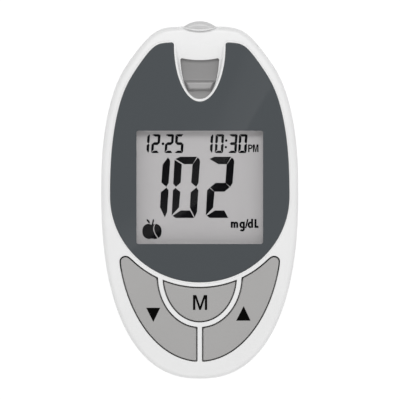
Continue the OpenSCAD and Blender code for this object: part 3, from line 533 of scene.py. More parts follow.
# Green lacquer, black resin, fired clay and rubber, all dull and finely grained
solder_mask = moulded("solder mask over FR4", "#2f6b45", 0.35, grain=0.2, depth=0.01)
epoxy = moulded("epoxy moulded, black", "#26262a", 0.55, grain=0.15, depth=0.006)
ceramic = moulded("ceramic fired, tan", "#b5916a", 0.5, grain=0.1, depth=0.004)
black_nylon = moulded("nylon moulded, black", "#2b2c2f", 0.5, grain=0.3, depth=0.006)
holder_abs = moulded("ABS moulded, off-white", "#d6d6d1", 0.5)
silicone = moulded("silicone rubber, dark grey", "#3c3c44", 0.7, grain=0.25, depth=0.01)
tape = moulded("adhesive tape, black", "#141415", 0.6, grain=0.4, depth=0.01)
reflector = moulded("reflector film, grey", "#b8b9b6", 0.45, grain=0.2, depth=0.004)
slider_abs = moulded("ABS moulded, dark grey satin", "#8b8a8a", 0.4)
# Gold over bronze strip: warm, and brighter than the nickel
gilt = plated("bronze strip, gold-plated", "#d8b45c", 0.3, 2.0, 0.2, 0.32)
HIDDEN = {
    "circuit_board": solder_mask, "microcontroller": epoxy, "board_components": ceramic,
    "buzzer": epoxy, "switch_bodies": black_nylon, "strip_connector": black_nylon,
    "strip_contacts": gilt, "lcd_holder": holder_abs, "zebra_connector": silicone,
    "lens_adhesive": tape, "lcd_reflector": reflector, "plunger_down": black_nylon,
    "plunger_memory": black_nylon, "plunger_up": black_nylon, "board_screws": zinc,
    "ejector_arm": slider_abs,
}


def dress(name, material):
    """Gives a piece that keeps its plain shape a material of its own"""
    nodes[name].data.materials.clear()
    nodes[name].data.materials.append(material)


for name, material in HIDDEN.items():
    dress(name, material)

# ---------- Display module ----------
# Two sheets of glass with liquid crystal between them. A neutral grey polariser film is laminated on
# the front, and behind it the driven segments turn nearly black against the reflector.
WINDOW_W, WINDOW_H, WINDOW_Y = 35.2, 31.5, LENS_Y + 2.55
LCD_TOP, FILM_T, MARK_T = 17.2, 0.05, 0.07
# An anti-glare polariser: an even neutral grey with almost no reflection of its own
film_grey = moulded("polariser film, grey", "#c7c5c6", 0.5, grain=0.6, depth=0.001, ior=1.1, drift=0.015)
# Plain float glass, grey-green where its ground edge shows
glass = mottled("float glass, ground edge", "#a9adaa", "#b1b5b2", 2.0, 1.0, {"Roughness": 0.12, "IOR": 1.52})
dress("lcd_front_glass", glass)
dress("lcd_rear_glass", glass)


def rounded_box(w, h, y, r, step=15):
    """A rectangle about (0, y) with rounded corners"""
    return np.concatenate([
        np.array([sx * (w / 2 - r), y + sy * (h / 2 - r)]) + r * unit(np.arange(a, a + 91, step))
        for sx, sy, a in ((1, 1, 0), (-1, 1, 90), (-1, -1, 180), (1, -1, 270))])


film = prism([rounded_box(WINDOW_W + 1.2, WINDOW_H + 1.2, WINDOW_Y, 0.4)], LCD_TOP, LCD_TOP + FILM_T)
film.name = "lcd_polariser"
fit(film, [film_grey], "housing", "lcd_glass")

# Seven segments of a digit in a cell 7.1 mm wide and 16.8 mm high, in the order a to g
SEGMENTS = [
    [(0.55, 16.3), (1.65, 16.84), (6.2, 16.84), (5.15, 14.95), (2.85, 14.95)],
    [(6.55, 16.6), (6.95, 16.2), (7.15, 15.55), (6.93, 9.65), (6.4, 8.7), (5.1, 9.8), (5.25, 14.7)],
    [(6.5, 8.25), (7.0, 7.55), (6.85, 1.65), (6.35, 0.3), (5.0, 2.85), (5.05, 7.0)],
    [(0.33, 0.5), (2.43, 1.9), (4.93, 1.9), (6.05, 0), (1.1, 0)],
    [(0.7, 8.15), (1.98, 7.1), (1.8, 2.85), (0.03, 0.87), (0.1, 7.55)],
    [(0.2, 15.9), (2.1, 14.8), (2.0, 9.8), (0.8, 8.7), (0.1, 9.45)],
    [(0.95, 8.4), (2.3, 9.57), (5.05, 9.57), (6.15, 8.45), (4.8, 7.3), (2.1, 7.3)],
]
DRIVEN = {"0": "abcdef", "1": "bc", "2": "abged", "3": "abgcd", "5": "afgcd"}


def upright(loop):
    """The loop run anticlockwise, so that the solid on it faces outwards"""
    x, y = np.array(loop).T
    return np.array(loop)[::1 if np.sum(x * np.roll(y, -1) - np.roll(x, -1) * y) > 0 else -1]


def fuller(loop, out):
    """The loop with each side moved out"""
    loop = upright(loop)
    ahead = np.roll(loop, -1, 0) - loop
    n = np.stack([ahead[:, 1], -ahead[:, 0]], -1) / np.hypot(*ahead.T)[:, None]
    both = n + np.roll(n, 1, 0)
    return loop + out * both / (both * n).sum(1)[:, None]


def digit(number, x, y, wide, high, out):
    """The driven segments of one digit, leaning to the right by a twenty-fifth of its height"""
    return [fuller([(x + p[0] * wide + p[1] * high * 0.04, y + p[1] * high)
                    for p in SEGMENTS["abcdefg".index(s)]], out) for s in DRIVEN[number]]


def dot(x, y, r):
    return (np.array([x, y]) + r * unit(np.arange(0, 360, 15))).tolist()


def bar(points, wide):
    """The outline of a bar of even width along some points, with mitred bends"""
    p = np.array(points, float)
    step = np.diff(p, axis=0)
    step /= np.hypot(*step.T)[:, None]
    n = np.stack([-step[:, 1], step[:, 0]], -1)
    before, after = np.concatenate([n[:1], n]), np.concatenate([n, n[-1:]])
    side = (before + after) / ((before + after) * before).sum(1)[:, None] * wide / 2
    return np.concatenate([p + side, (p - side)[::-1]])


def bow(x, y, a, b, lo, hi, step=15):
    """Points of an elliptic arc"""
    return [(x, y) + unit(t) * (a, b) for t in np.linspace(lo, hi, max(2, round(abs(hi - lo) / step) + 1))]


def letter_m(x, y, wide, high, stem):
    """A plain capital M with its lower left corner at x, y"""
    half = wide / 2
    right = [(half + 0.36 * stem, 0), (wide - stem, 0.76 * high), (wide - stem, 0), (wide, 0), (wide, high),
             (wide - 1.4 * stem, high)]
    loop = right + [(half, 0.26 * high)] + [(wide - u, v) for u, v in right[::-1]]
    return np.array([x, y]) + loop


def film_marks(name, loops, at=(0, 0)):
    """The driven marks of the display, each a hair higher than the last so that none share a face"""
    skin = Skin()
    for k, loop in enumerate(loops):
        loop = upright(np.array(at) + loop)
        skin.solid([skin.ring(loop, LCD_TOP + FILM_T), skin.ring(loop, LCD_TOP + MARK_T + 0.001 * (k % 6))])
    fit(skin.piece(name), [driven], "housing", "lcd_glass")


# Liquid crystal under voltage: it takes the polariser's light away and looks like flat black print
driven = moulded("liquid crystal, driven dark", "#141416", 0.5, grain=0.3, depth=0.001, ior=1.0, drift=0.02)
# The date and the clock are smaller digits of the same drawing, with round marks between them
reading, clock = [], [dot(-10.23, 15.63, 0.4), dot(7.38, 16.53, 0.34), dot(7.24, 14.72, 0.34)]
for number, x in (("1", -16.0), ("0", -7.7), ("2", 1.8)):
    reading += digit(number, x - 0.07, -4.9, 1, 1, 0.09)
for number, x in (("1", -16.45), ("2", -13.5), ("2", -9.75), ("5", -6.95),
                  ("1", 1.2), ("0", 4.2), ("3", 7.95), ("0", 10.7)):
    clock += digit(number, x, 13.1, 0.33, 0.306, 0.05)
film_marks("lcd_reading", reading)
film_marks("lcd_date_and_time", clock)

# A whole apple in two parts, with a stem and a leaf: the common sign for a meal
turns = np.radians(np.arange(-48, 307, 6))
radius = (np.abs(np.cos(turns) / 2.67) ** 2.5 + np.abs(np.sin(turns) / 2.22) ** 2.5) ** -0.4
dips = 0.42 * np.exp(-((turns - np.pi / 2) / 0.3) ** 2) - 0.22 * np.exp(-((turns - 1.5 * np.pi) / 0.25) ** 2)
rim = np.stack([radius * np.cos(turns), radius * np.sin(turns) - dips], -1)
t = np.linspace(0, 1, 9)[:, None]
slice_line = (1 - t) ** 2 * (1.0, 2.1) + t * (1 - t) * (-0.68, 1.39) + t * t * (1.68, -1.93)
main = np.concatenate([rim[20:], slice_line[::-1] - (0.12, 0)])
part = np.concatenate([rim[1:19], slice_line + (0.12, 0.04)])
apple = [main, part, bar([(0.1, 1.7), (0.28, 2.55), (0.42, 3.3)], 0.42),
         [(-0.55, 2.15), (-1.0, 2.35), (-1.45, 2.95), (-1.5, 3.4), (-1.1, 3.3), (-0.65, 2.8)]]
film_marks("lcd_meal_sign", apple, (-13.29, -8.71))

# The unit of the reading and the half of the day, in bars of even width
unit_sign = [bar(points, wide) for wide, points in (
    (0.56, [(0.28, 0), (0.28, 1.72)]),
    (0.54, bow(0.66, 1.06, 0.38, 0.4, 180, 0) + [(1.04, 0)]),
    (0.54, bow(1.42, 1.06, 0.38, 0.4, 180, 0) + [(1.8, 0)]),
    (0.56, bow(3.13, 0.82, 0.46, 0.62, 60, 300)),
    (0.56, [(3.64, 1.72), (3.64, -0.3)] + bow(3.15, -0.3, 0.49, 0.44, -15, -150)),
    (0.4, [(4.14, -0.1), (4.76, 2.45)]),
    (0.56, bow(5.42, 0.82, 0.46, 0.62, 60, 300)),
    (0.56, [(5.94, 0), (5.94, 2.5)]),
    (0.56, [(6.88, 2.45), (6.88, 0.26), (7.72, 0.26)]))]
bowl = [(0.19, 1.93), (0.64, 1.93)] + bow(0.64, 1.47, 0.42, 0.46, 75, -75) + [(0.64, 1.0), (0.19, 1.0)]
half_day = [bar([(0.19, 0), (0.19, 2.12)], 0.38), bar(bowl, 0.36), letter_m(1.32, 0, 1.56, 2.12, 0.37)]
film_marks("lcd_unit", unit_sign, (8.62, -7.74))
film_marks("lcd_half_day", half_day, (13.46, 13.33))

# ---------- Front case ----------
# The upper half of the case, in the same white ABS. Its crowned face holds the recess and deck for the
# lens, the openings of the three keys and the dish that leads the thumb down to the slider.
FRONT_R, DRAFT, EDGE_Z = 1.6, 0.25, FACE_Z - 0.4
CROWN, CROWN_IN, CROWN_W = 0.405, 1.724, 10.28
INNER_Z, DECK_TOP, DECK_Z = 18.2, 18.6, 17.3
LENS_TOP, LENS_LOW = TOP_Y - 4.6, 23.9
LENS_CUT, LENS_OVER = LENS_TOP - LENS_Y, 3
LENS_N, LENS_LEAN, LENS_CORNER = 2.44, 35, 0.3
NOTCH_A, NOTCH_B, FLARE = 7.16, 15.72, 0.7
NOTCH_Y = LENS_TOP - FLARE
SLOT_TOP = TOP_Y - 9.05
KEY_A, KEY_Y = CASE_W / 2 - 4.74, WIDE_Y - 12.24
KEY_B = KEY_Y - LOW_Y - 5.0
MEMORY_A, MEMORY_B, MEMORY_Y = 10.2, 12.7, LENS_Y - LENS_LOW + 1.77
KEY_BAND, KEY_WEB, KEY_GAP = 1.36, 1.55, 0.28
MEMORY_EYE = (0, MEMORY_Y - 6)
ARROW_EYE = (13.0, KEY_Y - 0.76 * KEY_B)
TIP_R, TIP_AT = 1.45, np.array([KEY_A - 1.78, KEY_Y - 6.93])
PORT_HALF, PORT_HI = 4.7, 14.5
SLOT_A, SLOT_B, MOUTH_A, MOUTH_B = 5.5, 15.0, 6.6, 15.16
SCALLOP_R, SCALLOP_IN, SCALLOP_GROOVE = 13.1, 1.08, 18.65
RIM_H, RIM_R = 0.2, 0.08


def to_line(p, t, q, facing):
    """Distance from p along angle t to the straight line through q that faces one direction"""
    c = np.cos(np.radians(t - facing))
    n = unit(facing)
    reach = (q[0] - p[0]) * n[0] + (q[1] - p[1]) * n[1]
    return np.where(c > 1e-4, reach / np.maximum(c, 1e-4), 1e4)


def lens_reach(t, d):
    """As the case outline, with a straight top edge and a plain ellipse below"""
    c, s = np.abs(unit(t)).T
    up = np.sin(np.radians(t)) > 0
    n = np.where(up, LENS_N, 2.0)
    b = np.where(up, LENS_CUT + LENS_OVER, LENS_LOW) - d
    oval = ((c / (LENS_A - d)) ** n + (s / b) ** n) ** (-1 / n)
    top = to_line((0, 0), t, (0, LENS_CUT - d), 90)
    over = shoulder(t, LENS_A, LENS_CUT + LENS_OVER, LENS_N, LENS_LEAN, LENS_CORNER, d)
    return np.where(up, soft_min([oval, top, over], 60), oval)


def lens_line(t, d):
    return np.array([0, LENS_Y]) + lens_reach(t, d)[:, None] * unit(t)


def inset(p):
    """How far a point lies inside the case outline, up to 13 mm"""
    v = p - (0, WIDE_Y)
    t, reach = np.degrees(np.arctan2(v[:, 1], v[:, 0])), np.hypot(*v.T)
    lo, hi = np.zeros(len(p)), np.full(len(p), 13.0)
    for _ in range(30):
        d = (lo + hi) / 2
        out = case_reach(t, d) < reach
        lo, hi = np.where(out, lo, d), np.where(out, d, hi)
    return d


def crown(p):
    """Height of the face at a point: it rises from the rounded edge and is flat from 12 mm in"""
    u = np.clip((inset(p) - CROWN_IN) / CROWN_W, 0, 1)
    return FACE_Z - CROWN * (1 - u) ** 2


def recess_line(t, g):
    """The lens outline with its notch, moved out by g, for t from 0 to 4"""
    t = np.atleast_1d(t)
    right = math.degrees(math.atan2(LENS_TOP + g - LENS_Y, NOTCH_A + FLARE))
    mouth = lens_line(np.array([right]), -g)[0]
    r = FLARE + g
    low = mouth[1] - r
    k, f = np.minimum(t.astype(int), 3), t - np.minimum(t.astype(int), 3)
    parts = [
        lens_line(180 - right + f * (180 + 2 * right), -g),
        (mouth[0], low) + r * unit(90 + 90 * f),
        (0, low) + unit(-180 * f) * (mouth[0] - r, NOTCH_B - g),
        (-mouth[0], low) + r * unit(90 * f),
    ]
    return np.choose(k[:, None], parts)


def under_lens(p, t, d):
    """Distance to the band of the case that runs between the lens and the keys"""
    return to_oval(p, t, (0, LENS_Y), LENS_A + KEY_BAND + d, LENS_LOW + KEY_BAND + d, False)


def memory_line(t, d):
    """Outline of the memory key, drawn in by d from the middle of the gap round it"""
    reach = soft_min([to_oval(MEMORY_EYE, t, (0, MEMORY_Y), MEMORY_A - d, MEMORY_B - d),
                      under_lens(MEMORY_EYE, t, d)], 60)
    return np.array(MEMORY_EYE) + reach[:, None] * unit(t)


def arrow_line(t, d):
    """Outline of the right-hand arrow key, as above"""
    p = ARROW_EYE
    reach = [
        to_oval(p, t, (0, KEY_Y), KEY_A - d, KEY_B - d),
        to_oval(p, t, (0, MEMORY_Y), MEMORY_A + KEY_WEB + d, MEMORY_B + KEY_WEB + d, False),
        under_lens(p, t, d),
        to_line(p, t, (KEY_WEB / 2 + d, 0), 180),
    ]
    reach += [to_line(p, t, TIP_AT + (TIP_R - d) * unit(f), f) for f in range(0, 121, 10)]
    return np.array(p) + soft_min(reach, 60)[:, None] * unit(t)


def left_line(t, d):
    return arrow_line(180 - t, d) * (-1, 1)


def u_line(a, b, top, sag, r, n=2.4):
    """A U: an oval end that hangs from the notch's centre line, closed by a sagging upper edge"""
    start = math.degrees(math.asin((max(0, NOTCH_Y - top + r + 0.2) / b) ** (n / 2)))
    x_top = a * math.cos(math.radians(start)) ** (2 / n)
    c, s = unit(np.linspace(180 + start, 360 - start, 73)).T
    oval = np.stack([a * np.sign(c) * np.abs(c) ** (2 / n), NOTCH_Y - b * np.abs(s) ** (2 / n)], -1)
    k = np.linspace(1, -1, 25)
    edge = np.stack([k * (x_top - r), top - sag * (1 - k * k)], -1)
    right = (x_top - r, top - r) + r * unit(np.arange(0, 90, 15))
    left = (-x_top + r, top - r) + r * unit(np.arange(105, 181, 15))
    return np.concatenate([oval, right, edge, left])


RECESS_T = spread(recess_line, 0, 4, 0.6, 6)
MEMORY_T = spread(memory_line, 0, 360, 0.6, 6)
ARROW_T = spread(arrow_line, 0, 360, 0.6, 6)
LEFT_T = 180 - ARROW_T[::-1]
KEYS = {"key_memory": (memory_line, MEMORY_T), "key_up": (arrow_line, ARROW_T),
        "key_down": (left_line, LEFT_T)}

skin = Skin()
path = [(1.95, INNER_Z), (1.8, INNER_Z - 0.15), (WALL, INNER_Z - 0.5), (WALL, SPLIT_Z + TONGUE_H + 0.2),
        (0.8, SPLIT_Z + TONGUE_H + 0.2), (0.8, SPLIT_Z), (GROOVE, SPLIT_Z), (0, SPLIT_Z + GROOVE),
        (0.01, SPLIT_Z + GROOVE + 0.3), (DRAFT - 0.01, EDGE_Z - FRONT_R - 0.3)]
path += [(DRAFT + into, EDGE_Z - fall) for fall, into in rounded(FRONT_R, np.linspace(0, 85.5, 12))]
rings = [skin.ring(case_line(CASE_T, d), z) for d, z in path]
line = case_line(CASE_T, 1.92)
rings.append(skin.ring(line, crown(line)))
skin.walls(rings)


def sink(curve, r, floor, extra=0.3):
    """An opening in the face: a support ring, an edge of radius r and a wall down to floor"""
    made = []
    for out, drop in [(r + extra, 0), (r + 0.06, 0)] + rounded(r, range(0, 91, 15)):
        line = curve(out)
        made.append(skin.ring(line, crown(line) - drop))
    made.append(skin.ring(curve(0), floor))
    skin.walls(made)
    return made


# A raised rim runs round the recess of the lens, and on round the dish of the slider
rim = [(0.5, 0), (0.44, 0.07), (0.37, 0.16), (0.3, RIM_H), (0.06, RIM_H)]
rim += [(into - 0.02, RIM_H - fall) for into, fall in rounded(RIM_R, (30, 60, 90))]
recess = []
for g, rise in rim:
    line = recess_line(RECESS_T, g)
    recess.append(skin.ring(line, crown(line) + rise))
recess.append(skin.ring(recess_line(RECESS_T, -0.02), DECK_TOP))
skin.walls(recess)
wells = [sink(lambda out: curve(t, -KEY_GAP / 2 - 0.02 - out), 0.09, INNER_Z)
         for curve, t in KEYS.values()]
slot = u_line(SLOT_A, SLOT_B, SLOT_TOP, 0.5, 0.5, 2.45)
mouth = u_line(MOUTH_A, MOUTH_B, LENS_TOP + 0.15, 0.6, 1.2, 2.0)
dish = []
high = np.clip((mouth[:, 1] - NOTCH_Y + 2) / 2, 0, 1)
for f in np.linspace(0, 1, 17):
    line = mouth + (slot - mouth) * f
    fall = high * f ** 1.1 + (1 - high) * (1 - (1 - f) ** 1.8)
    dish.append(skin.ring(line, crown(line) - (crown(line) - INNER_Z) * fall))
dish.append(skin.ring(slot, DECK_Z))
skin.walls(dish)
skin.fill([rings[-1], recess[0], dish[0]] + [w[0] for w in wells], True, crown, 1.6)
window = rounded_box(WINDOW_W + 0.6, WINDOW_H + 0.6, WINDOW_Y, 0.3, 30)
sill = [skin.ring(window, z) for z in (DECK_TOP, DECK_Z)]
skin.walls(sill)
skin.fill([recess[-1], sill[0]], True)
DECK_T = spread(lens_line, 90, 450, 1.2, 6)
deck = [skin.ring(lens_line(DECK_T, -0.2), z) for z in (DECK_Z, INNER_Z)]
skin.walls(deck)
skin.fill([deck[0], sill[1], dish[-1]], False)
skin.fill([rings[0], deck[1]] + [w[-1] for w in wells], False)
front = skin.piece("front_shell")
around = np.array([0, TOP_Y - SCALLOP_IN + SCALLOP_R])
turns = unit(np.arange(256) * 360 / 256)
carve(front, "DIFFERENCE", [
    block(PORT_HALF, TOP_Y - WALL - 1, TOP_Y + 1, SPLIT_Z - 1, PORT_HI),
    prism([around + SCALLOP_R * turns], PORT_HI - 0.01, 25),
    prism([around + (SCALLOP_R + 0.95) * turns, around + (SCALLOP_R + 0.34) * turns], SCALLOP_GROOVE, 25),
])
smooth(front, 38)
fit(front, [white_abs], "housing", "white_abs", "front_case")

# ---------- Display lens ----------
# A slightly domed cover of cast acrylic, held on the deck by adhesive tape. It is printed dark grey
# from behind, except for the clear window, so that the face has one deep gloss from edge to edge.
LENS_GAP, LENS_EDGE, LENS_RISE = 0.06, 0.15, 0.4
# Ink under acrylic: one even dark grey below a hard clear gloss
lens_print = moulded("acrylic, printed dark grey", "#4f5356", 0.025, grain=2.5, depth=0.0002, ior=1.49,
                     drift=0.01, wear=0.01)
# Clear acrylic: it shows the display behind it and only a faint reflection on its outer face
clear, tree = begin("acrylic cast, clear")
place = add(tree, "TexCoord").outputs["Object"]
ripple = add(tree, "TexNoise", {"Vector": place, "Scale": 1 / 0.004, "Detail": 1.0})
bump = add(tree, "Bump", {"Height": ripple, "Distance": 0.000001, "Strength": 0.3})
gloss = add(tree, "BsdfGlossy", {"Color": linear("#ffffff"), "Roughness": 0.025, "Normal": bump})
through = add(tree, "BsdfTransparent", {"Color": linear("#fcfcfc")})
facing = add(tree, "Fresnel", {"IOR": 1.49, "Normal": bump})
rear = add(tree, "NewGeometry").outputs["Backfacing"]
ahead = add(tree, "Math", {0: 1.0, 1: rear}, operation="SUBTRACT")
share = add(tree, "Math", {0: facing, 1: ahead}, operation="MULTIPLY")
mixed = add(tree, "MixShader", {0: share, 1: through, 2: gloss})
add(tree, "OutputMaterial", {"Surface": mixed})


def dome(p):
    """Height of the lens at a point: its contours are its own outline, drawn smaller"""
    v = p - (0, LENS_Y)
    t, reach = np.degrees(np.arctan2(v[:, 1], v[:, 0])), np.hypot(*v.T)
    return FACE_Z + LENS_RISE * (1 - (reach / lens_reach(t, 0.2)) ** 2)


skin = Skin()
line = recess_line(RECESS_T, -LENS_GAP)
rings = [skin.ring(line, DECK_TOP + 0.15)]
for fall, into in rounded(LENS_EDGE, range(0, 91, 15)):
    line = recess_line(RECESS_T, -LENS_GAP - into)
    rings.append(skin.ring(line, dome(line) - fall))
line = recess_line(RECESS_T, -0.6)
rings.append(skin.ring(line, dome(line)))
skin.walls(rings)
window = rounded_box(WINDOW_W, WINDOW_H, WINDOW_Y, 0.6)
far = np.hypot(*(np.roll(window, -1, 0) - window).T)
window = np.concatenate([np.linspace(p, q, max(1, round(d / 1.2)), endpoint=False)
                         for p, q, d in zip(window, np.roll(window, -1, 0), far)])
skin.fill(rings[-1:], True, dome, 1.6, window)
skin.fill(rings[:1], False, None, 0, window)
lens = skin.piece("lens_cover")
smooth(lens, 50)
fit(lens, [lens_print, clear], "housing", "lens_acrylic", "display_lens")

# ---------- Keys ----------
# Three hard caps in mid-grey ABS with a fine satin surface, each moulded with a flange that keeps it
# under the face and resting on its switch. The signs are printed on top with black ink.
KEY_TOP, KEY_ROUND, FLANGE_Z, FLANGE_T = 20.15, 0.35, 17.3, 0.65
KEY_IN, FLANGE_OUT, FLANGE_END = KEY_GAP / 2 + 0.06, 0.45, LENS_Y - LENS_LOW + 4.4
# A fine etch that leaves a soft grey sheen without a sharp reflection
key_abs = moulded("ABS moulded, mid grey satin", "#a6a5a4", 0.45, grain=0.4)
# Ink laid on by a pad: dense, matt and slightly thick
ink = moulded("pad-printed ink, black matt", "#0a0a09", 0.7, grain=0.3, depth=0.002, ior=1.0)
for name, (curve, t) in KEYS.items():
    skin = Skin()
    edge, wide, narrow = curve(t, KEY_IN), curve(t, -FLANGE_OUT), curve(t, KEY_IN - 0.03)
    flange = np.where(wide[:, 1:] < FLANGE_END, wide, narrow)
    rings = [skin.ring(flange, FLANGE_Z), skin.ring(flange, FLANGE_Z + FLANGE_T),
             skin.ring(edge, FLANGE_Z + FLANGE_T), skin.ring(edge, KEY_TOP - KEY_ROUND)]
    for fall, into in rounded(KEY_ROUND, range(15, 91, 15)):
        rings.append(skin.ring(curve(t, KEY_IN + into), KEY_TOP - fall))
    rings.append(skin.ring(curve(t, KEY_GAP / 2 + 0.7), KEY_TOP))
    skin.solid(rings)
    cap = skin.piece(name.replace("key", "cap"))
    smooth(cap)
    fit(cap, [key_abs], name + "_body", "key_plastic", name)

for name, body, loop in (
        ("sign_memory", "key_memory_body", letter_m(-1.88, -30.55, 3.95, 4.15, 0.66)),
        ("sign_down", "key_down_body", [(-14.88, -29.94), (-10.98, -29.94), (-12.9, -33.9)]),
        ("sign_up", "key_up_body", [(10.12, -33.52), (14.12, -33.52), (12.2, -29.48)])):
    sign = prism([upright(loop)], KEY_TOP, KEY_TOP + 0.02)
    sign.name = name
    fit(sign, [ink], body, "key_plastic")

# ---------- Ejector ----------
# The thumb slider: a dark grey ABS plate held under the deck by two guides, with a shallow hollow and
# a cross ridge. It pushes the strip out through an arm, and a small wire spring takes it back.
PLATE_TOP, PLATE_LO, PLATE_HI, PLATE_W = 17.1, 22.27, SLOT_TOP + 2.2, 12.2
HOLLOW_DEEP, HOLLOW_R, HOLLOW_HALF = 0.3, 30, 5.9
RIDGE_LO, RIDGE_HI, RIDGE_H, RIDGE_HALF = 30.12, 33.22, 1.2, 4.35
LUG_W, LUG_Y0, LUG_Y1, LUG_Z = 1.8, 35.47, 36.27, 14.8


def plate_height(p):
    """The plate's upper face: the hollow for the thumb, and the ridge, whose bevelled ends follow the
    sides of the slot"""
    x, y = p.T
    v = y - (RIDGE_HI + SLOT_TOP) / 2
    sag = HOLLOW_R - np.sqrt(np.maximum(0, HOLLOW_R ** 2 - v * v))
    hollow = np.maximum(0, HOLLOW_DEEP - sag) * (np.abs(x) < HOLLOW_HALF)
    side = np.minimum((y - RIDGE_LO) / 1.1, (RIDGE_HI - y) / 0.7)
    end = (RIDGE_HALF + 0.45 * (y - 32.7) - np.abs(x)) / 0.85
    rise = np.clip(np.minimum(side, end), 0, 1)
    return PLATE_TOP - hollow * (rise <= 0) + RIDGE_H * (3 * rise ** 2 - 2 * rise ** 3)


corner = rounded_box(PLATE_W, PLATE_HI - PLATE_LO, (PLATE_HI + PLATE_LO) / 2, 1, 10)
skin = Skin()
skin.solid([skin.ring(corner, z) for z in (PLATE_TOP - 1, PLATE_TOP)], plate_height, 0.22)
lug = np.array([(x * LUG_W / 2, y) for x, y in ((-1, LUG_Y0), (1, LUG_Y0), (1, LUG_Y1), (-1, LUG_Y1))])
skin.solid([skin.ring(lug, z) for z in (LUG_Z, PLATE_TOP - 0.99)])
slider = skin.piece("slider_plate")
smooth(slider, 45)
# Painted light: the ridge's crest is painted paler with height as a painted highlight, and the end below it
# is painted paler against the shade of the slot's walls; the hollow keeps the plain dark grey
painted_light = moulded("ABS moulded, rubbed pale", "#8b8a8a", 0.4)
tree = painted_light.node_tree
skin_node = next(n for n in tree.nodes if n.type == "BSDF_PRINCIPLED")
flow = skin_node.inputs["Base Color"].links[0].from_socket
place = add(tree, "TexCoord").outputs["Object"]
place = add(tree, "SeparateXYZ", {0: place}).outputs
# painted highlight paler up the ridge, and painted lift against shade towards the lower end
crest = add(tree, "MapRange", {0: place["Z"], 1: 0.01725, 2: 0.0182})
lower_end = add(tree, "MapRange", {0: place["Y"], 1: 0.0306, 2: 0.0288, 4: 0.9})
painted_light_mask = add(tree, "Math", {0: crest, 1: lower_end}, operation="MAXIMUM")
pale = add(tree, "Mix", {0: painted_light_mask, 6: flow, 7: linear("#a2a1a1")}, data_type="RGBA")
tree.links.new(pale.outputs[2], skin_node.inputs["Base Color"])
fit(slider, [painted_light], "ejector", "slider_plastic", "ejector_slider")

skin = Skin()
wind(skin, (0, LUG_Y1, 15.37), 1, r0=0.58, r1=0.58, length=9.3, turns=8, wire=0.24, steps=20, sides=8)
spring = skin.piece("return_spring")
smooth(spring, 50)
fit(spring, [nickel], "housing", "spring_steel", "ejector_spring")
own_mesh(spring)

# ---------- Strip port ----------
# A separate nose in light grey ABS round the slot for the test strip, held by a flange behind the
# wall of the case. Its colour shows the user where the strip goes in.
STRIP_Z, STRIP_HALF_W, STRIP_GAP = 12.0, 3.45, 0.55
LIP_H, LIP_R, RIM, LIP_HALF, FLANGE_HALF = 4.8, 7.2, 1.3, 4.6, 5.8
# A slightly glossier grey than the case, so that the port stands out
lip_abs = moulded("ABS moulded, light grey", "#d0d0d0", 0.35)
profile = [(LIP_R - into, fall) for into, fall in rounded(RIM, range(0, 91, 10))]
profile += [(r, LIP_H - z) for r, z in profile[::-1]]
nose = lathe("lip_nose", [(3, 0)] + profile + [(3, LIP_H)], 192)
for v in nose.data.vertices:
    v.co += Vector((0, TOP_Y + LIP_OUT - LIP_R, STRIP_Z - LIP_H / 2)) / 1000
back = TOP_Y - WALL - 0.25
carve(nose, "INTERSECT", [block(LIP_HALF, back - 0.5, TOP_Y + 5, 0, 20)])
carve(nose, "UNION", [block(FLANGE_HALF, back - 0.9, back, STRIP_Z - LIP_H / 2, STRIP_Z + LIP_H / 2)])
carve(nose, "DIFFERENCE", [block(STRIP_HALF_W, TOP_Y - 5, TOP_Y + 5,
                                 STRIP_Z - STRIP_GAP, STRIP_Z + STRIP_GAP)])
smooth(nose)
fit(nose, [lip_abs], "housing", "lip_plastic", "port_lip")

# ---------- Studio ----------
# A white floor that the meter lies on, one broad soft lamp overhead and an even white surround. The
# camera looks straight down at the display from far off, so that nothing shows perspective.
scene = bpy.context.scene
FLOOR_HALF, FLOOR_Z = 3, -0.0002
floor_mesh = bpy.data.meshes.new("floor")
floor_mesh.from_pydata([(x * FLOOR_HALF, y * FLOOR_HALF, FLOOR_Z)
                        for x, y in ((-1, -1), (1, -1), (1, 1), (-1, 1))], [], [(0, 1, 2, 3)])
floor = shape("floor", floor_mesh)
# Matt paper: pure white to the camera and in reflections, with the shadow of the meter kept on it
paper, tree = begin("paper backdrop, white")
seen = add(tree, "LightPath")
any_look = add(tree, "Math", {0: seen.outputs["Is Camera Ray"], 1: seen.outputs["Is Glossy Ray"]},
               operation="MAXIMUM")
look = add(tree, "Math", {0: any_look, 1: seen.outputs["Is Transmission Ray"]}, operation="MAXIMUM")
matt = add(tree, "BsdfDiffuse", {"Color": linear("#e4e4e4")})
faint = add(tree, "BsdfDiffuse", {"Color": linear("#6a6a6a")})
glow = add(tree, "Emission", {"Color": linear("#ffffff"), "Strength": 0.92})
lit = add(tree, "AddShader", {0: faint, 1: glow})
mixed = add(tree, "MixShader", {0: look, 1: matt, 2: lit})
add(tree, "OutputMaterial", {"Surface": mixed})
floor_mesh.materials.append(paper)

world = bpy.data.worlds.new("studio")
scene.world = world
world.use_nodes = True
tree = world.node_tree
tree.nodes.clear()
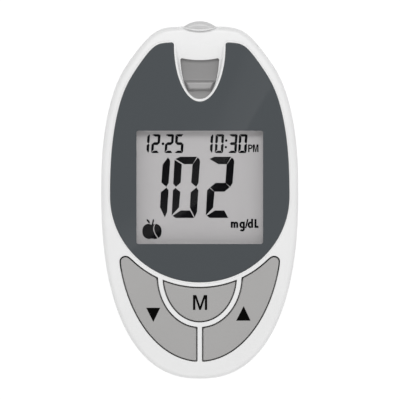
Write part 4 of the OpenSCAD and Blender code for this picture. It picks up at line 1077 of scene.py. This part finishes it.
# The surround is a pale tent, a little brighter overhead, beside and in front of the meter than behind
# it. Straight overhead it has a dark opening, and in it the edge of a card that fades to one side: it
# is what the flat gloss of the lens reflects
out = add(tree, "TexCoord").outputs["Generated"]
way = add(tree, "SeparateXYZ", {0: out}).outputs
tent = add(tree, "MapRange", {0: way["Z"], 1: 0.983, 2: 0.963, 3: 0.0, 4: 1.0},
           interpolation_type="SMOOTHSTEP")
lean = math.radians(36.6)
side = add(tree, "VectorMath", {0: out, 1: (-math.sin(lean), math.cos(lean), 0)},
           operation="DOT_PRODUCT").outputs["Value"]
edge = add(tree, "MapRange", {0: side, 1: -0.0045, 2: -0.0035, 3: 0.0, 4: 1.0})
fade = add(tree, "MapRange", {0: side, 1: -0.004, 2: 0.024, 3: 0.36, 4: 0.0})
card = add(tree, "Math", {0: edge, 1: fade}, operation="MULTIPLY")
front_side = add(tree, "VectorMath", {0: out, 1: (0.04, -0.25, 0)},
                 operation="DOT_PRODUCT").outputs["Value"]
rise = add(tree, "Math", {0: way["Z"], 1: 0.27, 2: 0.575}, operation="MULTIPLY_ADD")
flank = add(tree, "Math", {0: way["X"], 1: way["X"]}, operation="MULTIPLY")
flank = add(tree, "Math", {0: flank, 1: 0.28, 2: front_side}, operation="MULTIPLY_ADD")
dim = add(tree, "MapRange", {0: way["Y"], 1: 0.0, 2: 1.0, 3: 0.0, 4: -0.3})
flank = add(tree, "Math", {0: flank, 1: dim}, operation="ADD")
all_round = add(tree, "Math", {0: rise, 1: flank}, operation="ADD")
level = add(tree, "Mix", {0: tent, 2: card, 3: all_round}, data_type="FLOAT")
back = add(tree, "Background", {"Color": linear("#ffffff"), "Strength": level})
add(tree, "OutputWorld", {"Surface": back})

lamp = bpy.data.lights.new("softbox", "AREA")
lamp.shape, lamp.size, lamp.size_y, lamp.energy = "RECTANGLE", 0.34, 0.2, 1.39
box = bpy.data.objects.new("softbox", lamp)
box.location = (0, 0.32, 0.55)
box.rotation_euler = Vector(box.location).to_track_quat("Z", "Y").to_euler()
scene.collection.objects.link(box)

DISTANCE, VIEW_W, VIEW_X, MIDDLE_Z = 2.5, 0.11136, 0.00007, 0.015
camera = bpy.data.cameras.new("camera")
camera.sensor_width = 36
camera.lens = camera.sensor_width * DISTANCE / VIEW_W
camera.clip_start, camera.clip_end = 0.05, 20
eye = bpy.data.objects.new("camera", camera)
eye.location = (VIEW_X, 0, MIDDLE_Z + DISTANCE)
scene.collection.objects.link(eye)
scene.camera = eye
scene.view_settings.view_transform = "Standard"
